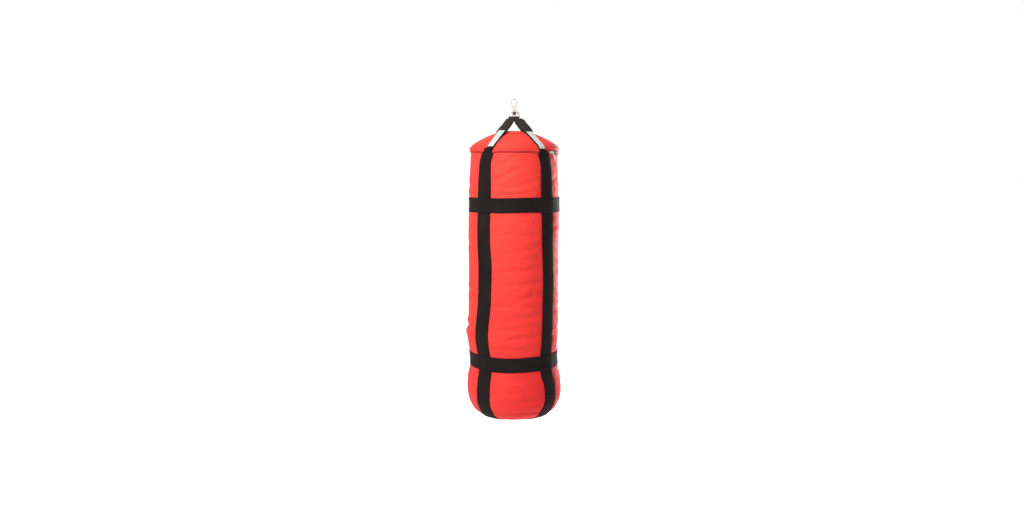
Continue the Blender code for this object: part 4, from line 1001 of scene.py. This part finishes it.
def panel(name, first, last, node, close_start=False, close_end=False):
    """Part of the skin as its own cloth, with its sewn edges tucked in."""
    rows = skin[first:last + 1]
    inward = -SKIN_N[first:last + 1]
    before = [] if close_start else [
        rows[:1] + inward[:1] * deep - UP * aside for deep, aside in TUCK[::-1]]
    behind = [] if close_end else [
        rows[-1:] + inward[-1:] * deep + UP * aside for deep, aside in TUCK]
    rows = np.concatenate(before + [rows] + behind)
    start = 1 if close_start else 0
    body = rows[start: -1 if close_end else None]
    faces = grid_faces(len(body), AROUND).tolist()
    points = body.reshape(-1, 3)
    reach = lengths_of(rows[:, 0])
    v = np.repeat(reach[start:start + len(body)], AROUND)
    u = np.tile(np.radians(ANGLES) * MEAN_RADIUS, len(body))
    uvs = np.stack([u, v], -1)
    if close_start:
        points = np.concatenate([points, rows[:1, 0]])
        uvs = np.concatenate([uvs, [[0.5, 0.0]]])
        faces += [[len(points) - 1, (j + 1) % AROUND, j] for j in range(AROUND)]
    if close_end:
        points = np.concatenate([points, rows[-1:, 0]])
        uvs = np.concatenate([uvs, [[0.5, reach[-1]]]])
        last_ring = (len(body) - 1) * AROUND
        faces += [[len(points) - 1, last_ring + j, last_ring + (j + 1) % AROUND] for j in range(AROUND)]
    made = new_object(name, points, [f[::-1] for f in faces], uvs, RED)
    finer = made.modifiers.new("finer", "SUBSURF")
    finer.levels = finer.render_levels = 1
    on_bag(made, "red_fabric", node)


BASE_SEAM = -0.9275
seam_row, base_row = nearest_row(0.0), nearest_row(BASE_SEAM)
panel("lid_cloth", 0, seam_row, "lid_panel", close_start=True)
panel("tube_cloth", seam_row, base_row, "cover_tube")
panel("base_cloth", base_row, len(skin) - 1, "base_panel", close_end=True)

# The welt
WELT_RADIUS = 0.0016
WELT_SIDES = 10
beside = SKIN_N[seam_row]
welt_line = blur(skin[seam_row] + beside * 0.0002, 1.0, 0, True)
welt_round = np.arange(WELT_SIDES) * 2.0 * math.pi / WELT_SIDES * WELT_RADIUS
welt_uv = np.stack([np.tile(welt_round, AROUND), np.repeat(np.arange(AROUND) * 0.0052, WELT_SIDES)], -1)
welt = tube("rim_piping", welt_line, beside, unit(np.cross(beside, closed_ways(welt_line))), WELT_RADIUS,
            WELT_SIDES, welt_uv, RED_WELT)
on_bag(welt, "red_fabric", "rim_welt")

# Stitches along the seams, as name, height, rise above the cover and thread
for name, height, rise, look in (
    # the rim stitches are real; their dark thread paints the shade under the lid's lip
    ("rim_stitches", -0.0125, 0.0009, SHADED_SEAM_THREAD), ("lid_stitches", 0.0075, 0.0002, RED_THREAD),
    ("base_stitches_upper", -0.9215, 0.0002, RED_THREAD),
    ("base_stitches_lower", -0.9345, 0.0002, RED_THREAD),
):
    up = SKIN_N[nearest_row(height)]
    line = skin[nearest_row(height)] + up * rise
    line, up = (np.concatenate([ring, ring[:1]]) for ring in (line, up))
    sew(name, line, up, look, "red_fabric", pitch=0.0048, length=0.0034, thick=0.0005)

# Painted shadow: a dark red strip in the groove under the lid, standing for the shade under its lip, all
# round except at the zip, wider on the right where that shade is deeper
after_zip = int(AROUND * (ZIP_TO + 2.5) / 360.0)
before_zip = int(AROUND * (ZIP_FROM - 1.5) / 360.0)
turning = np.arange(after_zip, AROUND + before_zip) % AROUND
wide = np.clip(0.64 + 0.55 * np.sin(np.radians(ANGLES[turning]) + 0.25), 0.2, 1.0)[:, None, None]
share = np.linspace(0.0, 1.0, 4)[None, :, None] * wide
painted_shadow, out = (
    grid[nearest_row(-0.0090), turning][:, None] * (1.0 - share)
    + grid[nearest_row(-0.0160), turning][:, None] * share for grid in (skin, SKIN_N)
)
out[..., 2] = np.clip(out[..., 2], -0.2, 0.2)
out = unit(out)
painted_shadow += out * 0.0004
made = ribbon("rim_painted_shadow", painted_shadow, out, 0.0006, np.linspace(-0.003, 0.003, 4),
              lengths_of(painted_shadow[:, 1]), PAINTED_SHADOW_LOOK)
on_bag(made, "red_fabric")

# Legs, straps and bands, each laid over what is under it
skin_faces = grid_faces(len(skin), AROUND)
skin_tree = tree_of((skin, skin_faces))
legs = {
    "left": leg_pair(-1.0, LEFT_FRONT, RIGHT_BACK, skin_tree),
    "right": leg_pair(1.0, RIGHT_FRONT, LEFT_BACK, skin_tree),
}
ON_LEG = WEB_THICK / 2.0 + GAP
over = [(skin, skin_faces)]
for name, (grid, normals, share) in legs.items():
    made = ribbon("hanger_webbing_" + name, grid, normals, WEB_THICK, ACROSS * 0.036,
                  lengths_of(grid[:, MIDDLE]), BLACK, lift=-WEB_THICK / 2.0)
    on_bag(made, "black_webbing", "hanger_" + name)
    number = np.arange(len(share))
    for end in (number < len(share) // 2, number > len(share) // 2):
        lying = end & (share >= 0.90)
        top = grid[lying] + normals[lying] * WEB_THICK / 2.0
        over.append((top, strip_faces(top)))

sewn = []
for name, front, back in (("left", LEFT_FRONT, LEFT_BACK), ("right", RIGHT_FRONT, RIGHT_BACK)):
    base, outs = strap_base(front, back, PATCH_FOOT[name] - 0.0008)
    laid = drape(tree_of(*over), base, outs, soft_along=1.3, soft_across=0.8)
    normals = facing(laid, np.gradient(laid, axis=0), outs)
    along = lengths_of(laid[:, MIDDLE])
    top = webbing("strap_webbing_" + name, "body_strap_" + name, laid, normals, ACROSS * STRAP, along)
    over.append((top, strip_faces(top)))
    sewn.append(("strap_stitches_" + name, top[2:-2], normals[2:-2]))

BAND_STATIONS = 300
azimuth = np.arange(BAND_STATIONS) * 360.0 / BAND_STATIONS
for name, depth, order in (("upper", UPPER_BAND, 1.0), ("lower", LOWER_BAND, -1.0)):
    wander = 0.0012 * np.sin(np.radians(azimuth) * 2.0 + order) + 0.0006 * np.sin(np.radians(azimuth) * 5.0)
    across = ACROSS * WEBBING
    base = polar(azimuth[:, None], 0.158, -depth + wander[:, None] - across[None, :])
    outs = np.repeat(polar(azimuth, 1.0, -RIM_Z)[:, None], COLUMNS, axis=1)
    laid = drape(tree_of(*over), base, outs, soft_along=2.0, soft_across=1.0, wrap=True)
    normals = facing(laid, np.roll(laid, -1, axis=0) - np.roll(laid, 1, axis=0), outs)
    along = np.radians(azimuth) * MEAN_RADIUS
    top = webbing("band_webbing_" + name, "band_" + name, laid, normals, across, along, closed=True)
    sewn.append(("band_stitches_" + name, *(np.concatenate([g, g[:1]]) for g in (top, normals))))

# Sleeves and patches on the legs
PATCH_THICK = 0.0010
SLEEVE_THICK = 0.0016
for name, (grid, normals, share) in legs.items():
    outer = -1.0 if name == "left" else 1.0
    on = np.nonzero(share <= SLEEVE_END[name])[0]
    part, out = grid[on], normals[on]
    wrap = ease((share[on] - 0.02) / 0.07)
    middle = (part[:, :1] + part[:, -1:]) / 2.0
    extra = (SLEEVE_WIDTH[name] - LEG_WIDTH) / 2.0 * ease(share[on] / 0.12)
    wide = 1.0 + extra[:, None, None] / np.linalg.norm(part[:, :1] - middle, axis=-1, keepdims=True)
    apart_by = outer * extra * (1.0 - ease((share[on] - 0.05) / 0.12))
    part = middle + (part - middle) * wide + RIGHT * apart_by[:, None, None]
    chance = np.random.default_rng(5 if name == "left" else 6)
    ripple = blur(blur(chance.normal(0.0, 1.0, part.shape[:2]), 1.6, 0), 1.0, 1)
    ripple *= 0.0007 / max(ripple.std(), 1e-9) * wrap[:, None]
    part = part + out * ripple[..., None]
    low = ON_LEG - wrap * (WEB_THICK + 2.0 * GAP + 0.0014)
    made = ribbon("sleeve_cloth_" + name, part, out, SLEEVE_THICK, ACROSS * LEG_WIDTH,
                  lengths_of(part[:, MIDDLE]), SLEEVE, lift=ON_LEG, under=low, crown=0.0006)
    on_bag(made, "black_webbing", "wear_sleeve_" + name)
    number = np.arange(len(share))
    patched = (share > PATCH_START[name]) & (share < 1.0 + CORNER[1] - PATCH_FOOT[name])
    for end, keep in (("front", number < len(share) // 2), ("back", number > len(share) // 2)):
        on = np.nonzero(keep & patched)[0]
        base, out = grid[on], normals[on]
        sideways = unit(base[:, -1] - base[:, 0])
        push = np.sign(sideways[:, :1]) * outer * PATCH_SIDESTEP
        spread = np.linspace(-0.5, 0.5, 9) * PATCH_WIDTH
        flat = base[:, MIDDLE][:, None] + sideways[:, None] * (push[:, None] + spread[None, :, None])
        outs = np.repeat(out[:, MIDDLE][:, None], 9, axis=1)
        made = ribbon("patch_cloth_%s_%s" % (end, name), flat, outs, PATCH_THICK, spread,
                      lengths_of(flat[:, 4]), PATCH, lift=ON_LEG)
        on_bag(made, "white_patch", "patch_%s_%s" % (end, name))
        face = flat + outs * (ON_LEG + PATCH_THICK)
        inset = 0.0022 / PATCH_WIDTH
        first_line = face[:, 0] * (1 - inset) + face[:, -1] * inset
        last_line = face[:, -1] * (1 - inset) + face[:, 0] * inset
        outline = np.concatenate([first_line[1:-1], last_line[1:-1][::-1], first_line[1:2]])
        up = np.concatenate([outs[1:-1, 0], outs[1:-1, 0][::-1], outs[1:2, 0]])
        sew("patch_stitches_%s_%s" % (end, name), outline, up, WHITE_THREAD, "white_patch",
            pitch=0.0036, length=0.0026, thick=0.00035)

# Stitching along both edges of the webbing
for name, top, normals in sewn:
    for column, label in ((1, "a"), (COLUMNS - 2, "b")):
        sew("%s_%s" % (name, label), top[:, column], normals[:, column], BLACK_THREAD, "black_webbing",
            pitch=0.0052, length=0.0034, thick=0.00042)

# Hardware
RING_TOP_Z = PIN_Z + PIN_RADIUS + GAP + RING_WIRE
bend = RING_WIDTH / 2.0 - RING_WIRE
corner = 0.0045
ring_line = arc((0.0, RING_TOP_Z - bend), bend, 0.0, 180.0, 48)
ring_line += arc((-bend + corner, BAR_Z + corner), corner, 180.0, 270.0, 8)
ring_line += arc((bend - corner, BAR_Z + corner), corner, 270.0, 360.0, 8)
ring_points = resample(np.array([(x, 0.0, z) for x, z in ring_line + ring_line[:1]]), 0.0012)[:-1]
ring_side = np.broadcast_to(np.array([0.0, 1.0, 0.0]), ring_points.shape)
hang_ring = tube("ring_steel", ring_points, ring_side, unit(np.cross(closed_ways(ring_points), ring_side)),
                 RING_WIRE, 24, None, STEEL)
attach(hang_ring, "ring")
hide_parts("hang_ring")


def finish_node(node, look):
    """Gives a CAD node its material."""
    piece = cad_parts[node]
    piece.data.materials.clear()
    piece.data.materials.append(look)
    return piece


for nodes, look in (
    (("hook_frame", "hook_gate", "gate_pin", "gate_spring", "swivel_rivet", "swivel_washer",
      "swivel_jaw"), STEEL),
    (("clevis_bolt", "clevis_nut"), DARK_STEEL),
    (("zip_stop_front", "zip_stop_back", "zip_slider", "zip_pull"), ZIP_METAL),
):
    for node in nodes:
        piece = finish_node(node, look)
        if node != "gate_spring":
            edge = piece.modifiers.new("edge", "BEVEL")
            edge.width = 0.00035
            edge.segments = 3
            edge.limit_method = "ANGLE"
            edge.angle_limit = math.radians(38.0)
            edge.harden_normals = True
for node, look in (
    ("foam_liner", FOAM), ("base_pad", FOAM), ("fill_core", RAG), ("zip_tape", TAPE), ("zip_coil", COIL),
):
    finish_node(node, look)


# Stage: floor, light and camera
WHITE = (1.0, 1.0, 1.0, 1.0)
FLOOR_Z = -1.80
FLOOR_REACH = 14.0


def area(name, at, look_at, size, power):
    light = bpy.data.lights.new(name, "AREA")
    light.shape = "RECTANGLE"
    light.size, light.size_y = size
    light.energy = power
    holder = bpy.data.objects.new(name, light)
    bpy.context.scene.collection.objects.link(holder)
    holder.location = at
    holder.rotation_euler = (Vector(look_at) - Vector(at)).to_track_quat("-Z", "Y").to_euler()


def build_stage():
    look = Look("pale_floor", (0.93, 0.93, 0.93), 0.9)
    look.shader.inputs["Emission Color"].default_value = WHITE
    look.shader.inputs["Emission Strength"].default_value = 0.30
    seen = look.add("ShaderNodeBsdfPrincipled", {
        "Base Color": (0.93, 0.93, 0.93, 1.0), "Roughness": 0.9,
        "Emission Color": WHITE, "Emission Strength": 0.80,
    }, {})
    look.mix_seen(look.shader.outputs[0], seen.outputs[0], look.nodes["Material Output"].inputs["Surface"])
    corners = [(x * FLOOR_REACH, y * FLOOR_REACH, FLOOR_Z) for x, y in ((-1, -1), (1, -1), (1, 1), (-1, 1))]
    floor = new_object("floor", corners, [[0, 1, 2, 3]], None, look.material, smooth=False)
    floor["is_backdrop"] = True
    world = bpy.data.worlds.new("studio")
    bpy.context.scene.world = world
    world.use_nodes = True
    sky = Graph(world.node_tree)
    sky.nodes.clear()
    out = sky.add("ShaderNodeOutputWorld", {}, {})
    dim, bright = (
        sky.add("ShaderNodeBackground", {"Strength": strength, "Color": WHITE}, {})
        for strength in (0.30, 1.0)
    )
    sky.mix_seen(dim.outputs[0], bright.outputs[0], out.inputs["Surface"])
    middle = (0.0, 0.0, -0.62)
    area("key", (-1.25, -2.1, 1.25), (0.0, 0.0, -0.45), (1.0, 1.1), 105.0)
    area("fill", (2.4, -2.6, 0.2), middle, (1.2, 2.0), 8.0)
    area("edge", (1.7, 2.3, -0.35), middle, (0.8, 2.0), 76.0)
    area("top", (-0.6, -0.5, 1.5), (0.0, 0.0, -0.15), (1.0, 1.0), 8.0)
    camera = bpy.data.cameras.new("camera")
    camera.sensor_width = 36.0
    camera.lens = 30.66
    camera.clip_start, camera.clip_end = 0.05, 60.0
    holder = bpy.data.objects.new("camera", camera)
    bpy.context.scene.collection.objects.link(holder)
    holder.location = (-0.0083, -3.14, -0.230)
    holder.rotation_euler = (math.radians(90.0 - 6.22), 0.0, 0.0)
    scene = bpy.context.scene
    scene.camera = holder
    scene.view_settings.view_transform = "Standard"


build_stage()
low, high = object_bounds()
